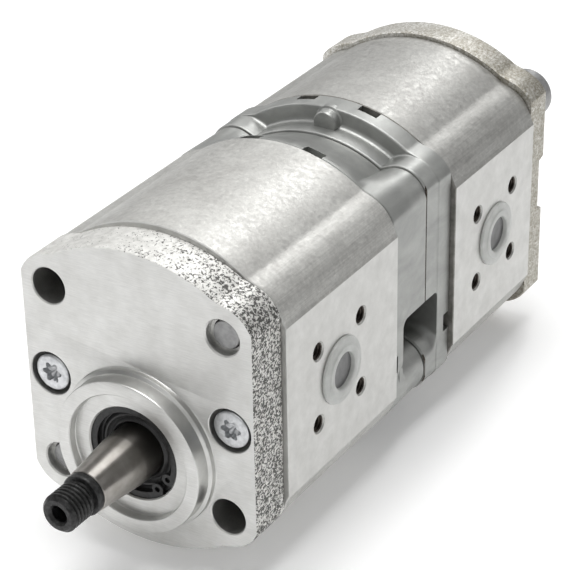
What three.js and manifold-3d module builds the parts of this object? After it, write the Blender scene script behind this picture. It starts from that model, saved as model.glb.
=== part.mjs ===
// Tandem external gear pump: two gear stages on one drive line, millimetres, +Z up.
// Origin: where the shaft axis crosses the mounting face. The shaft nose points along -Y,
// the stages follow each other along +Y, the idler gears lie above the drive line.
import * as THREE from "three";
import { mergeVertices } from "three/addons/utils/BufferGeometryUtils.js";
import Module from "manifold-3d";

const wasm = await Module();
wasm.setup();

// ---- driving dimensions ----------------------------------------------------------------
const GEAR_MODULE = 2.6;
const GEAR_TEETH = 12;
const AXIS_GAP = GEAR_MODULE * GEAR_TEETH; // distance between the drive and idler axes
const MID_Z = AXIS_GAP / 2; // height of the bolt pattern's centre and of the ports
const JOINT_GAP = 0.1; // film of clearance between stacked castings

const BOLT_X = 30; // corner bolts stand on a 60 mm square
const BOLT_DZ = 30;
const MID_SCREW_X = 31.5;

// stations along Y where one casting ends and the next begins
const PILOT_FRONT = -7.15;
const COVER_BACK = 15.25;
const STAGE1_BACK = 79.85;
const COUPLING_SEAM = 101.3;
const STAGE2_FRONT = 116.85;
const STAGE2_BACK = 172.55;
const REAR_FACE = 184.2;

const HOUSING_R = 50.3; // crowned top and bottom of the extruded housings
const HOUSING_HALF_WIDTH = 41.5; // port faces
const COVER_HALF_WIDTH = 39.9;
const COVER_CROWN_R = 55;
const COVER_CROWN_OFFSET = 6.2; // how far the crown centres sit from MID_Z
const REAR_COVER_R = 51.9;
const REAR_COVER_HALF_WIDTH = 40.4;
// material around each corner bolt
const COVER_EAR_R = 10;
const HOUSING_EAR_R = 9.5;
const FLANGE_EAR_R = 9.7;
const REAR_EAR_R = 11.9;

const PILOT_R = 25;
const SEAL_BORE_R = 15.2;
const THROUGH_HOLE_R = 5.8;
const TIE_BOLT_R = 4.9;
const TIE_BOLT_END_R = 4.4;
const TIE_BOLT_END_DEPTH = 2; // how far a tie bolt's end lies below the mounting face
const BOLT_CLEARANCE = 0.45;
const SCREW_CLEARANCE = 0.35;
const PAST = 1; // how far a cutting solid runs past the face that it cuts

const JOURNAL_R = 8.5;
const SHAFT_PASSAGE_R = 9.3; // plain bores that the shaft passes through
const GEAR_TIP_R = 18.2;
const RUNNING_CLEARANCE = 0.03;
const BLOCK_LENGTH = 20.4; // each bearing block
const BUSH_R = 9.6;

const PORT1_Y = 44.9;
const PORT2_Y = 145.2;
const PRESSURE_PORT = { radius: 7.5, bolts: 35, side: 1 };
const SUCTION_PORT = { radius: 10, bolts: 40, side: -1 };
const PORT_SCREW_R = 2.7;

// facets round a circle, by what the circle is
const CROWN_SIDES = 52;
const CHAMBER_SIDES = 28;
const ROUND_SIDES = 16;
const EAR_SIDES = 16;
const HOLE_SIDES = 10;
const SMALL_SIDES = 6;

// Corner radius of a many-sided bore whose flats clear a shaft of the given radius.
const boreFor = (radius, sides) => (radius + RUNNING_CLEARANCE) / Math.cos(Math.PI / sides);

const CHAMBER_R = boreFor(GEAR_TIP_R, CHAMBER_SIDES);
const JOURNAL_BORE_R = boreFor(JOURNAL_R, ROUND_SIDES);

const FLANGE_FRONT = 86.8; // inner faces of the two coupling flanges
const FLANGE_REAR = 109;
const WAIST_R = 43.8;
const WINDOW_TOP = 10.5; // height of the upper edge of the side windows
const POCKET_X = 24; // how near the middle the side windows reach
const BEYOND = 60; // a distance that lies outside the pump in any direction from its middle

// ---- materials -------------------------------------------------------------------------
const finish = (color, roughness, metalness) => ({ color, roughness, metalness });
const MACHINED = finish(0xd3d5d5, 0.38, 0.85);
const CAST = finish(0xb9bab6, 0.6, 0.75);
const EXTRUDED = finish(0xc4c4bf, 0.45, 0.8);
const DIE_CAST = finish(0x9fa19f, 0.5, 0.75);
const STEEL = finish(0x8d8b88, 0.25, 0.95);
const ZINC = finish(0xc9cbca, 0.35, 0.9);
const BOLT_STEEL = finish(0xa8aaa8, 0.4, 0.9);
const RUBBER = finish(0x1b1b1b, 0.8, 0);
const BLACK_STEEL = finish(0x262626, 0.5, 0.6);
const PLASTIC = finish(0xe4e6e4, 0.45, 0);
const BRONZE = finish(0x9a7d4f, 0.5, 0.7);
const BEARING_ALLOY = finish(0xb0b2b2, 0.5, 0.7);

// ---- solids ----------------------------------------------------------------------------
// A closed three.js geometry as a solid that can be joined and cut.
function solid(geometry) {
  const bare = geometry.index ? geometry.toNonIndexed() : geometry.clone();
  bare.deleteAttribute("normal");
  bare.deleteAttribute("uv");
  const merged = mergeVertices(bare, 1e-4);
  const vertProperties = new Float32Array(merged.attributes.position.array);
  const triVerts = new Uint32Array(merged.index.array);
  return new wasm.Manifold(new wasm.Mesh({ numProp: 3, vertProperties, triVerts }));
}

function geometryOf(body) {
  const mesh = body.getMesh();
  const geometry = new THREE.BufferGeometry();
  const positions = new Float32Array(mesh.vertProperties);
  geometry.setAttribute("position", new THREE.BufferAttribute(positions, 3));
  geometry.setIndex(new THREE.BufferAttribute(new Uint32Array(mesh.triVerts), 1));
  geometry.computeVertexNormals();
  return geometry;
}

const join = (first, ...rest) => rest.reduce((sum, piece) => sum.add(piece), first);
const cut = (first, ...rest) => rest.reduce((left, piece) => left.subtract(piece), first);

// Round bar along Y.
function bar(radius, front, back, x = 0, z = 0, sides = HOLE_SIDES) {
  const g = new THREE.CylinderGeometry(radius, radius, back - front, sides);
  return solid(g.translate(x, (front + back) / 2, z));
}

// Round bar along X, centred at height z and station y.
function crossBar(radius, left, right, y, z, sides = HOLE_SIDES) {
  const g = new THREE.CylinderGeometry(radius, radius, right - left, sides);
  g.rotateZ(Math.PI / 2);
  return solid(g.translate((left + right) / 2, y, z));
}

function block(left, right, front, back, bottom, top) {
  const g = new THREE.BoxGeometry(right - left, back - front, top - bottom);
  return solid(g.translate((left + right) / 2, (front + back) / 2, (bottom + top) / 2));
}

// Ring or spindle turned about Y from its [radius, y] section.
function turned(section, sides = ROUND_SIDES, x = 0, z = 0) {
  const points = section.map(([radius, y]) => new THREE.Vector2(radius, y));
  if (THREE.ShapeUtils.area(points) < 0) points.reverse();
  const ends = points.filter((p) => p.x === 0);
  if (ends.length === 0) points.push(points[0].clone());
  return solid(new THREE.LatheGeometry(points, sides).translate(x, 0, z));
}

// Prism along Y from an outline in (x, z).
function prism(shape, front, back, curveSegments = 12) {
  const options = { depth: back - front, bevelEnabled: false, curveSegments };
  const g = new THREE.ExtrudeGeometry(shape, options);
  return solid(g.rotateX(Math.PI / 2).translate(0, back, 0));
}

const group = new THREE.Group();

function add(name, body, look, parent = group) {
  const mesh = new THREE.Mesh(geometryOf(body), new THREE.MeshStandardMaterial(look));
  mesh.name = name;
  parent.add(mesh);
  return mesh;
}

const corners = [];
for (const sx of [-1, 1]) {
  for (const sz of [-1, 1]) corners.push({ sx, sz, x: sx * BOLT_X, z: MID_Z + sz * BOLT_DZ });
}
// The upper left and lower right corners take the mounting bolts, the others the tie bolts.
const throughCorners = corners.filter((c) => c.sx !== c.sz);
const tieCorners = corners.filter((c) => c.sx === c.sz);

const ears = (radius, front, back) => corners.map((c) => bar(radius, front, back, c.x, c.z, EAR_SIDES));
const throughHoles = (front, back) =>
  throughCorners.map((c) => bar(THROUGH_HOLE_R, front, back, c.x, c.z, EAR_SIDES));
const tieHoles = (radius, front, back) =>
  tieCorners.map((c) => bar(radius, front, back, c.x, c.z));
const midHoles = (radius, front, back) =>
  [-1, 1].map((side) => bar(radius, front, back, side * MID_SCREW_X, MID_Z));

// Crowned slab of a housing or flange: round top and bottom, flat sides, an ear at each corner.
function slab(radius, halfWidth, earRadius, front, back) {
  const crown = bar(radius, front, back, 0, MID_Z, CROWN_SIDES);
  const sides = block(-halfWidth, halfWidth, front, back, MID_Z - BEYOND, MID_Z + BEYOND);
  return join(crown, ...ears(earRadius, front, back)).intersect(sides);
}

// Figure-of-eight solid round both gear axes.
function twin(radius, front, back, sides = CHAMBER_SIDES) {
  return join(bar(radius, front, back, 0, 0, sides), bar(radius, front, back, 0, AXIS_GAP, sides));
}

// Racetrack ring round both gear axes.
function racetrack(inner, outer, front, back) {
  const stadium = (radius) =>
    join(twin(radius, front, back, ROUND_SIDES), block(-radius, radius, front, back, 0, AXIS_GAP));
  return cut(stadium(outer), stadium(inner));
}

// ---- front cover -----------------------------------------------------------------------
const SCREW_HEAD_R = 6;
const SCREW_HEAD_SINK = 0.5;
const SCREW_HEAD_DEPTH = 6.5;
const SCREW_SHANK_R = 4;
const COUNTERBORE_R = 7.1;
const SEAL_BACK = 5.2;
const PILOT_CHAMFER = 0.5;
const PILOT_FOOT = { r: PILOT_R + 1.2, front: -0.6, slopeFront: -1.4 };
const PILOT_STEP = { r: 20.6, floor: -4.3 };
const RING_GROOVE = { r: SEAL_BORE_R + 0.9, front: -3.65, back: -2.3 };
const TIE_RECESS = { r: 5.6, depth: 4 };

function frontCover() {
  const crown = (offset) => bar(COVER_CROWN_R, 0, COVER_BACK, 0, MID_Z + offset, CROWN_SIDES);
  const width = COVER_HALF_WIDTH;
  const sides = block(-width, width, 0, COVER_BACK, MID_Z - BEYOND, MID_Z + BEYOND);
  const plate = crown(-COVER_CROWN_OFFSET).intersect(crown(COVER_CROWN_OFFSET)).intersect(sides);
  const earSolids = ears(COVER_EAR_R, 0, COVER_BACK).map((ear) => ear.intersect(sides));
  const pilot = turned(
    [
      [0, PILOT_FRONT],
      [PILOT_R - PILOT_CHAMFER, PILOT_FRONT],
      [PILOT_R, PILOT_FRONT + PILOT_CHAMFER],
      [PILOT_R, PILOT_FOOT.slopeFront],
      [PILOT_FOOT.r, PILOT_FOOT.front],
      [PILOT_FOOT.r, PAST],
      [0, PAST],
    ],
    CHAMBER_SIDES,
  );
  return cut(
    join(plate, ...earSolids, pilot),
    bar(PILOT_STEP.r, PILOT_FRONT - PAST, PILOT_STEP.floor, 0, 0, CHAMBER_SIDES),
    bar(SEAL_BORE_R, PILOT_STEP.floor - PAST, SEAL_BACK, 0, 0, CHAMBER_SIDES),
    bar(RING_GROOVE.r, RING_GROOVE.front, RING_GROOVE.back, 0, 0, CHAMBER_SIDES),
    bar(SHAFT_PASSAGE_R, 0, COVER_BACK + PAST, 0, 0, ROUND_SIDES),
    ...throughHoles(-PAST, COVER_BACK + PAST),
    ...tieHoles(TIE_RECESS.r, -PAST, TIE_RECESS.depth),
    ...tieHoles(TIE_BOLT_END_R + SCREW_CLEARANCE, 0, COVER_BACK + PAST),
    ...midHoles(COUNTERBORE_R, -PAST, SCREW_HEAD_DEPTH + SCREW_CLEARANCE),
    ...midHoles(SCREW_SHANK_R + SCREW_CLEARANCE, 0, COVER_BACK + PAST),
  );
}

const stack = new THREE.Group();
group.add(stack);
add("front_cover", frontCover(), MACHINED, stack);

// ---- housings --------------------------------------------------------------------------
const SEAL_GROOVE = { inner: 20.2, outer: 22.6, depth: 1.9 };
const SEAL_SLACK = 0.3; // free width beside a ring in its groove
const SEAL_SINK = 0.05;
const MID_SCREW_REACH = 14; // how far the side screws run into a housing
const MID_HOLE_DEPTH = 16;
const PORT_DEPTH = 33.5; // from a port face to the gear chambers
const PORT_SCREW_DEPTH = 13;

// Port bore through one side wall with its four fixing holes.
function portCuts(port, y) {
  const face = HOUSING_HALF_WIDTH + PAST;
  const across = (radius, from, to, py, pz, sides) =>
    port.side > 0
      ? crossBar(radius, from, to, py, pz, sides)
      : crossBar(radius, -to, -from, py, pz, sides);
  const cuts = [across(port.radius, HOUSING_HALF_WIDTH - PORT_DEPTH, face, y, MID_Z, EAR_SIDES)];
  const half = port.bolts / 2 / Math.SQRT2;
  for (const dy of [-half, half]) {
    for (const dz of [-half, half]) {
      const floor = HOUSING_HALF_WIDTH - PORT_SCREW_DEPTH;
      cuts.push(across(PORT_SCREW_R, floor, face, y + dy, MID_Z + dz, SMALL_SIDES));
    }
  }
  return cuts;
}

function housing(front, back, portY, screwsFromFront) {
  const { inner, outer, depth } = SEAL_GROOVE;
  const screwSpan = screwsFromFront
    ? [front - PAST, front + MID_HOLE_DEPTH]
    : [back - MID_HOLE_DEPTH, back + PAST];
  return cut(
    slab(HOUSING_R, HOUSING_HALF_WIDTH, HOUSING_EAR_R, front, back),
    twin(CHAMBER_R, front - PAST, back + PAST),
    ...throughHoles(front - PAST, back + PAST),
    ...tieHoles(TIE_BOLT_R + BOLT_CLEARANCE, front - PAST, back + PAST),
    ...midHoles(SCREW_SHANK_R + SCREW_CLEARANCE, ...screwSpan),
    racetrack(inner, outer, front - PAST, front + depth),
    racetrack(inner, outer, back - depth, back + PAST),
    ...portCuts(PRESSURE_PORT, portY),
    ...portCuts(SUCTION_PORT, portY),
  );
}

const STAGES = [
  { n: 1, front: COVER_BACK + JOINT_GAP, back: STAGE1_BACK - JOINT_GAP, port: PORT1_Y },
  { n: 2, front: STAGE2_FRONT + JOINT_GAP, back: STAGE2_BACK - JOINT_GAP, port: PORT2_Y },
];

for (const stage of STAGES) {
  const { n, front, back, port } = stage;
  add(`stage_${n}_housing`, housing(front, back, port, n === 1), EXTRUDED, stack);
  const { inner, outer, depth } = SEAL_GROOVE;
  const seal = (from, to) => racetrack(inner + SEAL_SLACK, outer - SEAL_SLACK, from, to);
  const thickness = depth - 2 * SEAL_SINK;
  const frontFace = front + SEAL_SINK;
  const rearFace = back - SEAL_SINK;
  add(`stage_${n}_front_seal`, seal(frontFace, frontFace + thickness), RUBBER, stack);
  add(`stage_${n}_rear_seal`, seal(rearFace - thickness, rearFace), RUBBER, stack);
}

// ---- coupling covers -------------------------------------------------------------------
const COUPLING_CHAMBER_R = 14;
const COUPLING_SEAL_R = 12.7;
const COUPLING_SEAL_WIDTH = 5.6;
const COUPLING_HALF_WIDTH = COVER_HALF_WIDTH - 0.1;
const WAIST_HALF_WIDTH = COUPLING_HALF_WIDTH - 0.35;
const PANEL_ROOT = POCKET_X - 4; // how deep the side panels reach into the crowned wall
const CHAMBER_WINDOW = { inner: 5, outer: POCKET_X + 2, half: 9 }; // opening from chamber to window
const CHAMBER_WALL = 0.6; // how far a flange's inner face stands off the chamber's end
const SEAL_LIP_STEP = 0.7;
const NOTCH = { x: 11.3, width: 7, deep: 3.6, low: 2.8 };
const SIDE_NOTCH = { z: -3.3, height: 6.2, deep: 4.4, low: 3 };

// Left and right limits of a stretch between two distances from the middle, on one side of it.
const sideSpan = (side, near, far) => (side > 0 ? [near, far] : [-far, -near]);

// The part between the flanges: crowned wall, bolt columns and an open pocket low on each side.
// Swells are round solids that stand proud of the wall.
function waist(front, back, ...swells) {
  const reach = WAIST_HALF_WIDTH;
  const between = block(-reach, reach, front, back, MID_Z - BEYOND, MID_Z + BEYOND);
  const wall = slab(WAIST_R, reach, HOUSING_EAR_R, front, back);
  const crown = join(wall, ...swells.map((swell) => swell.intersect(between)));
  const panels = [-1, 1].map((side) =>
    block(...sideSpan(side, PANEL_ROOT, reach), front, back, WINDOW_TOP, MID_Z + BOLT_DZ),
  );
  const pockets = [-1, 1].map((side) =>
    block(...sideSpan(side, POCKET_X, BEYOND), front - PAST, back + PAST, -BEYOND, WINDOW_TOP),
  );
  const lowEars = ears(HOUSING_EAR_R, front, back).filter((ear, i) => corners[i].sz < 0);
  const columns = lowEars.map((ear) => ear.intersect(between));
  return join(cut(join(crown, ...panels), ...pockets), ...columns);
}

function notches(from, to) {
  const cuts = [];
  for (const side of [-1, 1]) {
    for (const up of [-1, 1]) {
      const notch = new THREE.BoxGeometry(NOTCH.width, to - from, 2 * NOTCH.low);
      const tilt = Math.asin((side * up * NOTCH.x) / HOUSING_R);
      notch.translate(0, (from + to) / 2, up * HOUSING_R).rotateY(tilt);
      cuts.push(solid(notch.translate(0, 0, MID_Z)));
    }
    const { z, height, low } = SIDE_NOTCH;
    const reach = sideSpan(side, COVER_HALF_WIDTH - low, BEYOND);
    cuts.push(block(...reach, from, to, z - height / 2, z + height / 2));
  }
  return cuts;
}

// The front half's crown falls from its bolted face to the waist along this cone.
const SLOPE = { startR: HOUSING_R + 1, endR: WAIST_R - 0.5, end: 100.4 };

function slopingFlange(front, back) {
  const cone = turned(
    [
      [0, front - PAST],
      [SLOPE.startR, front - PAST],
      [SLOPE.endR, SLOPE.end],
      [0, SLOPE.end],
    ],
    CROWN_SIDES,
    0,
    MID_Z,
  );
  const flange = slab(HOUSING_R, COUPLING_HALF_WIDTH, FLANGE_EAR_R, front, back);
  const kept = flange.intersect(join(cone, ...ears(FLANGE_EAR_R, front, back)));
  return { flange: kept, cone };
}

function couplingCover(front, back, flangeFace, flangeInFront) {
  const [flangeFrom, flangeTo] = flangeInFront ? [front, flangeFace] : [flangeFace, back];
  const [waistFrom, waistTo] = flangeInFront ? [flangeFace - 1, back] : [front, flangeFace + 1];
  const notchSpan = flangeInFront
    ? [front - PAST, front + NOTCH.deep]
    : [back - NOTCH.deep, back + PAST];
  const chamber = flangeInFront
    ? [flangeFace + CHAMBER_WALL, back + PAST]
    : [front - PAST, flangeFace - CHAMBER_WALL];
  const sealSeat = flangeInFront
    ? [flangeFace + SEAL_LIP_STEP - COUPLING_SEAL_WIDTH, back]
    : [front, flangeFace - SEAL_LIP_STEP + COUPLING_SEAL_WIDTH];
  const { inner, outer, half } = CHAMBER_WINDOW;
  const window = [-1, 1].map((side) =>
    block(...sideSpan(side, inner, outer), ...chamber, -half, half),
  );
  let shell;
  if (flangeInFront) {
    const { flange, cone } = slopingFlange(flangeFrom, flangeTo);
    shell = join(flange, waist(waistFrom, waistTo, cone));
  } else {
    const flange = slab(HOUSING_R, COUPLING_HALF_WIDTH, FLANGE_EAR_R, flangeFrom, flangeTo);
    shell = join(flange, waist(waistFrom, waistTo));
  }
  return cut(
    shell,
    bar(COUPLING_CHAMBER_R, ...chamber, 0, 0, ROUND_SIDES),
    bar(COUPLING_SEAL_R, ...sealSeat, 0, 0, ROUND_SIDES),
    bar(SHAFT_PASSAGE_R, front - PAST, back + PAST, 0, 0, ROUND_SIDES),
    ...window,
    ...notches(...notchSpan),
    ...throughHoles(front - PAST, back + PAST),
    ...tieHoles(TIE_BOLT_R + BOLT_CLEARANCE, front - PAST, back + PAST),
  );
}

const couplingFront = couplingCover(
  STAGE1_BACK,
  COUPLING_SEAM - JOINT_GAP / 2,
  FLANGE_FRONT,
  true,
);
add("coupling_cover_front", couplingFront, DIE_CAST, stack);

const CAST_BOSS = { z: 61.3, r: 4.2, front: 105.8 };
const couplingRear = join(
  couplingCover(COUPLING_SEAM + JOINT_GAP / 2, STAGE2_FRONT, FLANGE_REAR, false),
  bar(CAST_BOSS.r, CAST_BOSS.front, FLANGE_REAR + PAST, 0, CAST_BOSS.z),
);
add("coupling_cover_rear", couplingRear, DIE_CAST, stack);

// ---- rear cover ------------------------------------------------------------------------
const REAR_POCKET = { from: 9.2, to: 26.6, floor: 180, inner: 20 };

function rearCover() {
  const front = STAGE2_BACK;
  const { from, to, floor, inner } = REAR_POCKET;
  const pockets = [-1, 1].map((side) =>
    block(...sideSpan(side, inner, BEYOND), floor, REAR_FACE + PAST, from, to),
  );
  return cut(
    slab(REAR_COVER_R, REAR_COVER_HALF_WIDTH, REAR_EAR_R, front, REAR_FACE),
    ...pockets,
    ...throughHoles(front - PAST, REAR_FACE + PAST),
    ...tieHoles(TIE_BOLT_R + BOLT_CLEARANCE, front - PAST, REAR_FACE + PAST),
    ...midHoles(SCREW_SHANK_R + SCREW_CLEARANCE, front - PAST, REAR_FACE + PAST),
  );
}
add("rear_cover", rearCover(), CAST, stack);

// ---- bearing blocks, bushes and pressure seals -------------------------------------------
const BLOCK_CLEARANCE = 0.06;
const PRESSURE_SEAL = { inner: 14.5, outer: 16.7, depth: 1.8, slack: 0.13 };
const RELIEF = { x: 7, width: 6, height: 3.4, deep: 2 };
const BUSH_FIT = 0.05;
const BUSH_INSET = { outer: 0.5, gear: 0.3 }; // how far a bush ends short of its block's faces

// inward is +1 where the gears lie behind the block and -1 where they lie in front of it.
function bearingBlock(front, back, inward) {
  const outerFace = inward > 0 ? front : back;
  const gearFace = inward > 0 ? back : front;
  const groove = [outerFace - PRESSURE_SEAL.depth, outerFace + PRESSURE_SEAL.depth];
  const reliefs = [-1, 1].map((side) =>
    block(
      side * RELIEF.x - RELIEF.width / 2,
      side * RELIEF.x + RELIEF.width / 2,
      gearFace - RELIEF.deep,
      gearFace + RELIEF.deep,
      MID_Z - RELIEF.height / 2,
      MID_Z + RELIEF.height / 2,
    ),
  );
  return cut(
    twin(CHAMBER_R - BLOCK_CLEARANCE, front, back),
    twin(BUSH_R + BUSH_FIT, front - PAST, back + PAST, ROUND_SIDES),
    cut(
      twin(PRESSURE_SEAL.outer, ...groove, ROUND_SIDES),
      twin(PRESSURE_SEAL.inner, ...groove, ROUND_SIDES),
    ),
    ...reliefs,
  );
}

function bush(front, back, z) {
  const inner = JOURNAL_BORE_R;
  const section = [
    [inner, front],
    [BUSH_R, front],
    [BUSH_R, back],
    [inner, back],
  ];
  return turned(section, ROUND_SIDES, 0, z);
}

for (const { n, front, back } of STAGES) {
  const places = [
    { end: "front", from: front + JOINT_GAP, to: front + BLOCK_LENGTH, inward: 1 },
    { end: "rear", from: back - BLOCK_LENGTH, to: back - JOINT_GAP, inward: -1 },
  ];
  for (const { end, from, to, inward } of places) {
    const name = `stage_${n}_${end}`;
    add(`${name}_bearing_block`, bearingBlock(from, to, inward), BEARING_ALLOY);
    const bushSpan = [from + BUSH_INSET.outer, to - BUSH_INSET.gear];
    add(`${name}_drive_bush`, bush(...bushSpan, 0), BRONZE);
    add(`${name}_idler_bush`, bush(...bushSpan, AXIS_GAP), BRONZE);
    const { inner, outer, depth, slack } = PRESSURE_SEAL;
    const span = inward > 0 ? [from, from + depth - slack] : [to - depth + slack, to];
    const strip = cut(
      twin(outer - slack, ...span, ROUND_SIDES),
      twin(inner + slack, ...span, ROUND_SIDES),
    );
    add(`${name}_pressure_seal`, strip, RUBBER);
  }
}

// ---- gears and shafts --------------------------------------------------------------------
const PRESSURE_ANGLE = (25 * Math.PI) / 180;
const TOOTH_THINNING = 0.012; // radians taken off each flank for backlash
const GEAR_ROOT_R = 12.4;
const ROOT_SPREAD = 0.015; // radians by which a tooth widens from its flank's foot to the root
const FLANK_STEPS = 2;
const GEAR_SIDE_GAP = 0.12;

const involute = (angle) => Math.tan(angle) - angle;

// Outline of a spur gear, one tooth centred on angle zero when turn is 0.
function gearShape(turn) {
  const pitchR = (GEAR_MODULE * GEAR_TEETH) / 2;
  const baseR = pitchR * Math.cos(PRESSURE_ANGLE);
  const halfTooth = Math.PI / (2 * GEAR_TEETH) + involute(PRESSURE_ANGLE) - TOOTH_THINNING;
  const flank = [];
  for (let i = 0; i <= FLANK_STEPS; i += 1) {
    const r = baseR + ((GEAR_TIP_R - baseR) * i) / FLANK_STEPS;
    flank.push({ r, a: halfTooth - involute(Math.acos(baseR / r)) });
  }
  flank.unshift({ r: GEAR_ROOT_R, a: flank[0].a + ROOT_SPREAD });
  const points = [];
  for (let tooth = 0; tooth < GEAR_TEETH; tooth += 1) {
    const centre = turn + (tooth * 2 * Math.PI) / GEAR_TEETH;
    const rise = flank.map(({ r, a }) => [r, centre - a]);
    const fall = flank.map(({ r, a }) => [r, centre + a]).reverse();
    for (const [r, a] of [...rise, ...fall]) {
      points.push(new THREE.Vector2(r * Math.cos(a), r * Math.sin(a)));
    }
  }
  return new THREE.Shape(points);
}

const halfPitch = Math.PI / GEAR_TEETH;
// A drive tooth points straight up at the idler, which meets it with a tooth space.
const driveGear = (front, back) => prism(gearShape(Math.PI / 2), front, back);
const idlerGear = (front, back) =>
  prism(gearShape(-Math.PI / 2 + halfPitch), front, back).translate([0, 0, AXIS_GAP]);

const gearSpan = ({ front, back }) => [
  front + BLOCK_LENGTH + GEAR_SIDE_GAP,
  back - BLOCK_LENGTH - GEAR_SIDE_GAP,
];

const TAPER_BACK = -10.2; // the 1:5 cone's large end
const TAPER_FRONT = -27.1;
const TAPER_R = 8.4;
const TAPER_RUNOUT = 0.4;
const THREAD_R = 5.9;
const THREAD_BACK = -29.9;
const THREAD_COLLAR = { r: 6.55, chamfer: 0.5 };
const SHAFT_TIP = -40.7;
const CENTRE_HOLE = { r: 2.65, depth: 5.5, point: 1.5 };
const SHAFT_1_END = 93.6;
const SHAFT_2_START = 108.6;
const JOURNAL_CHAMFER = 0.8;
const SHAFT_END_GAP = 0.4; // from a journal's end to the casting behind it
const TANG = { half: 3.9, r: 8.3, length: 5.8 };
const KEY = { width: 3, radius: 6.5, height: 5, y: -18.6, top: 9, clearance: 0.12 };
const CLAW = { r: 11.4, front: 94.2, back: 108, slot: 5.6, slack: 0.2 };

const taperSmallR = TAPER_R - (TAPER_BACK - TAPER_FRONT) / 10;
// The key lies on the shaft's lower left side.
const keyTurn = (-3 * Math.PI) / 4;

// Half-moon key, or its slot when grown by the slot's clearance.
function keySolid(grow) {
  const { width, radius, height, y, top } = KEY;
  const half = width / 2 + grow;
  const disc = crossBar(radius + grow, -half, half, y, top + radius - height);
  const below = block(-width, width, y - 2 * radius, y + 2 * radius, 0, top);
  return disc.intersect(below).rotate([0, THREE.MathUtils.radToDeg(keyTurn), 0]);
}

// Flat tang on a shaft's end; upright sets it in the plane of the two gear axes.
function tang(front, back, upright) {
  const wide = [-BEYOND, BEYOND];
  const narrow = [-TANG.half, TANG.half];
  const [x, z] = upright ? [narrow, wide] : [wide, narrow];
  return bar(TANG.r, front, back, 0, 0, EAR_SIDES).intersect(block(...x, front, back, ...z));
}

function driveShaft(stage) {
  const [gearFront, gearBack] = gearSpan(stage);
  const nose = turned([
    [0, SHAFT_TIP],
    [THREAD_R - 1, SHAFT_TIP],
    [THREAD_R, SHAFT_TIP + 1],
    [THREAD_R, THREAD_BACK],
    [THREAD_COLLAR.r, THREAD_BACK + THREAD_COLLAR.chamfer],
    [THREAD_COLLAR.r, TAPER_FRONT],
    [taperSmallR, TAPER_FRONT],
    [TAPER_R, TAPER_BACK],
    [JOURNAL_R, TAPER_BACK + TAPER_RUNOUT],
    [JOURNAL_R, SHAFT_1_END],
    [0, SHAFT_1_END],
  ]);
  const centreHole = [
    [0, SHAFT_TIP - PAST],
    [CENTRE_HOLE.r, SHAFT_TIP - PAST],
    [CENTRE_HOLE.r, SHAFT_TIP + CENTRE_HOLE.depth],
    [0, SHAFT_TIP + CENTRE_HOLE.depth + CENTRE_HOLE.point],
  ];
  const tangSolid = tang(SHAFT_1_END - PAST, SHAFT_1_END + TANG.length, true);
  return cut(
    join(nose, driveGear(gearFront, gearBack), tangSolid),
    turned(centreHole, HOLE_SIDES),
    keySolid(KEY.clearance),
  );
}

function secondShaft(stage) {
  const [gearFront, gearBack] = gearSpan(stage);
  const end = stage.back - SHAFT_END_GAP;
  const journal = turned([
    [0, SHAFT_2_START],
    [JOURNAL_R, SHAFT_2_START],
    [JOURNAL_R, end - JOURNAL_CHAMFER],
    [JOURNAL_R - JOURNAL_CHAMFER, end],
    [0, end],
  ]);
  const tangSolid = tang(SHAFT_2_START - TANG.length, SHAFT_2_START + PAST, false);
  return join(journal, driveGear(gearFront, gearBack), tangSolid);
}

function idler(stage) {
  const [gearFront, gearBack] = gearSpan(stage);
  const start = stage.front + SHAFT_END_GAP;
  const end = stage.back - SHAFT_END_GAP;
  const section = [
    [0, start],
    [JOURNAL_R - JOURNAL_CHAMFER, start],
    [JOURNAL_R, start + JOURNAL_CHAMFER],
    [JOURNAL_R, end - JOURNAL_CHAMFER],
    [JOURNAL_R - JOURNAL_CHAMFER, end],
    [0, end],
  ];
  return join(turned(section, ROUND_SIDES, 0, AXIS_GAP), idlerGear(gearFront, gearBack));
}

// Claw coupling: a slot across each end, at right angles to each other.
function coupling() {
  const { r, front, back, slot, slack } = CLAW;
  const half = TANG.half + slack;
  return cut(
    bar(r, front, back, 0, 0, ROUND_SIDES),
    block(-half, half, front - PAST, front + slot, -BEYOND, BEYOND),
    block(-BEYOND, BEYOND, back - slot, back + PAST, -half, half),
  );
}

const driveLine = new THREE.Group();
group.add(driveLine);
add("drive_shaft_gear", driveShaft(STAGES[0]), STEEL, driveLine);
add("shaft_key", keySolid(0), STEEL, driveLine);
add("claw_coupling", coupling(), STEEL, driveLine);
add("stage_2_drive_gear", secondShaft(STAGES[1]), STEEL, driveLine);
for (const stage of STAGES) add(`stage_${stage.n}_idler_gear`, idler(stage), STEEL);

// ---- shaft seals and retaining ring --------------------------------------------------------

const SEAL_FIT = 0.1;
const LIP = { back: 1.6, width: 1.4, web: 2.4, wall: 1.5, relief: 0.6 };

function lipSeal(bore, front, back) {
  const outer = bore - SEAL_FIT;
  return turned([
    [JOURNAL_BORE_R, front + LIP.back],
    [JOURNAL_BORE_R + LIP.width, front],
    [outer, front],
    [outer, back],
    [outer - LIP.wall, back],
    [outer - LIP.wall, front + LIP.web],
    [JOURNAL_BORE_R + LIP.relief, front + LIP.web],
  ]);
}

const SHAFT_SEAL_FRONT = -2.1;
add("shaft_seal", lipSeal(SEAL_BORE_R, SHAFT_SEAL_FRONT, SEAL_BACK - SEAL_FIT), RUBBER);
const couplingSealSeats = {
  front: FLANGE_FRONT + SEAL_LIP_STEP - COUPLING_SEAL_WIDTH,
  rear: FLANGE_REAR - SEAL_LIP_STEP,
};
for (const [end, seat] of Object.entries(couplingSealSeats)) {
  const span = [seat + SEAL_FIT, seat + COUPLING_SEAL_WIDTH - SEAL_FIT];
  add(`coupling_seal_${end}`, lipSeal(COUPLING_SEAL_R, ...span), RUBBER);
}

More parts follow.
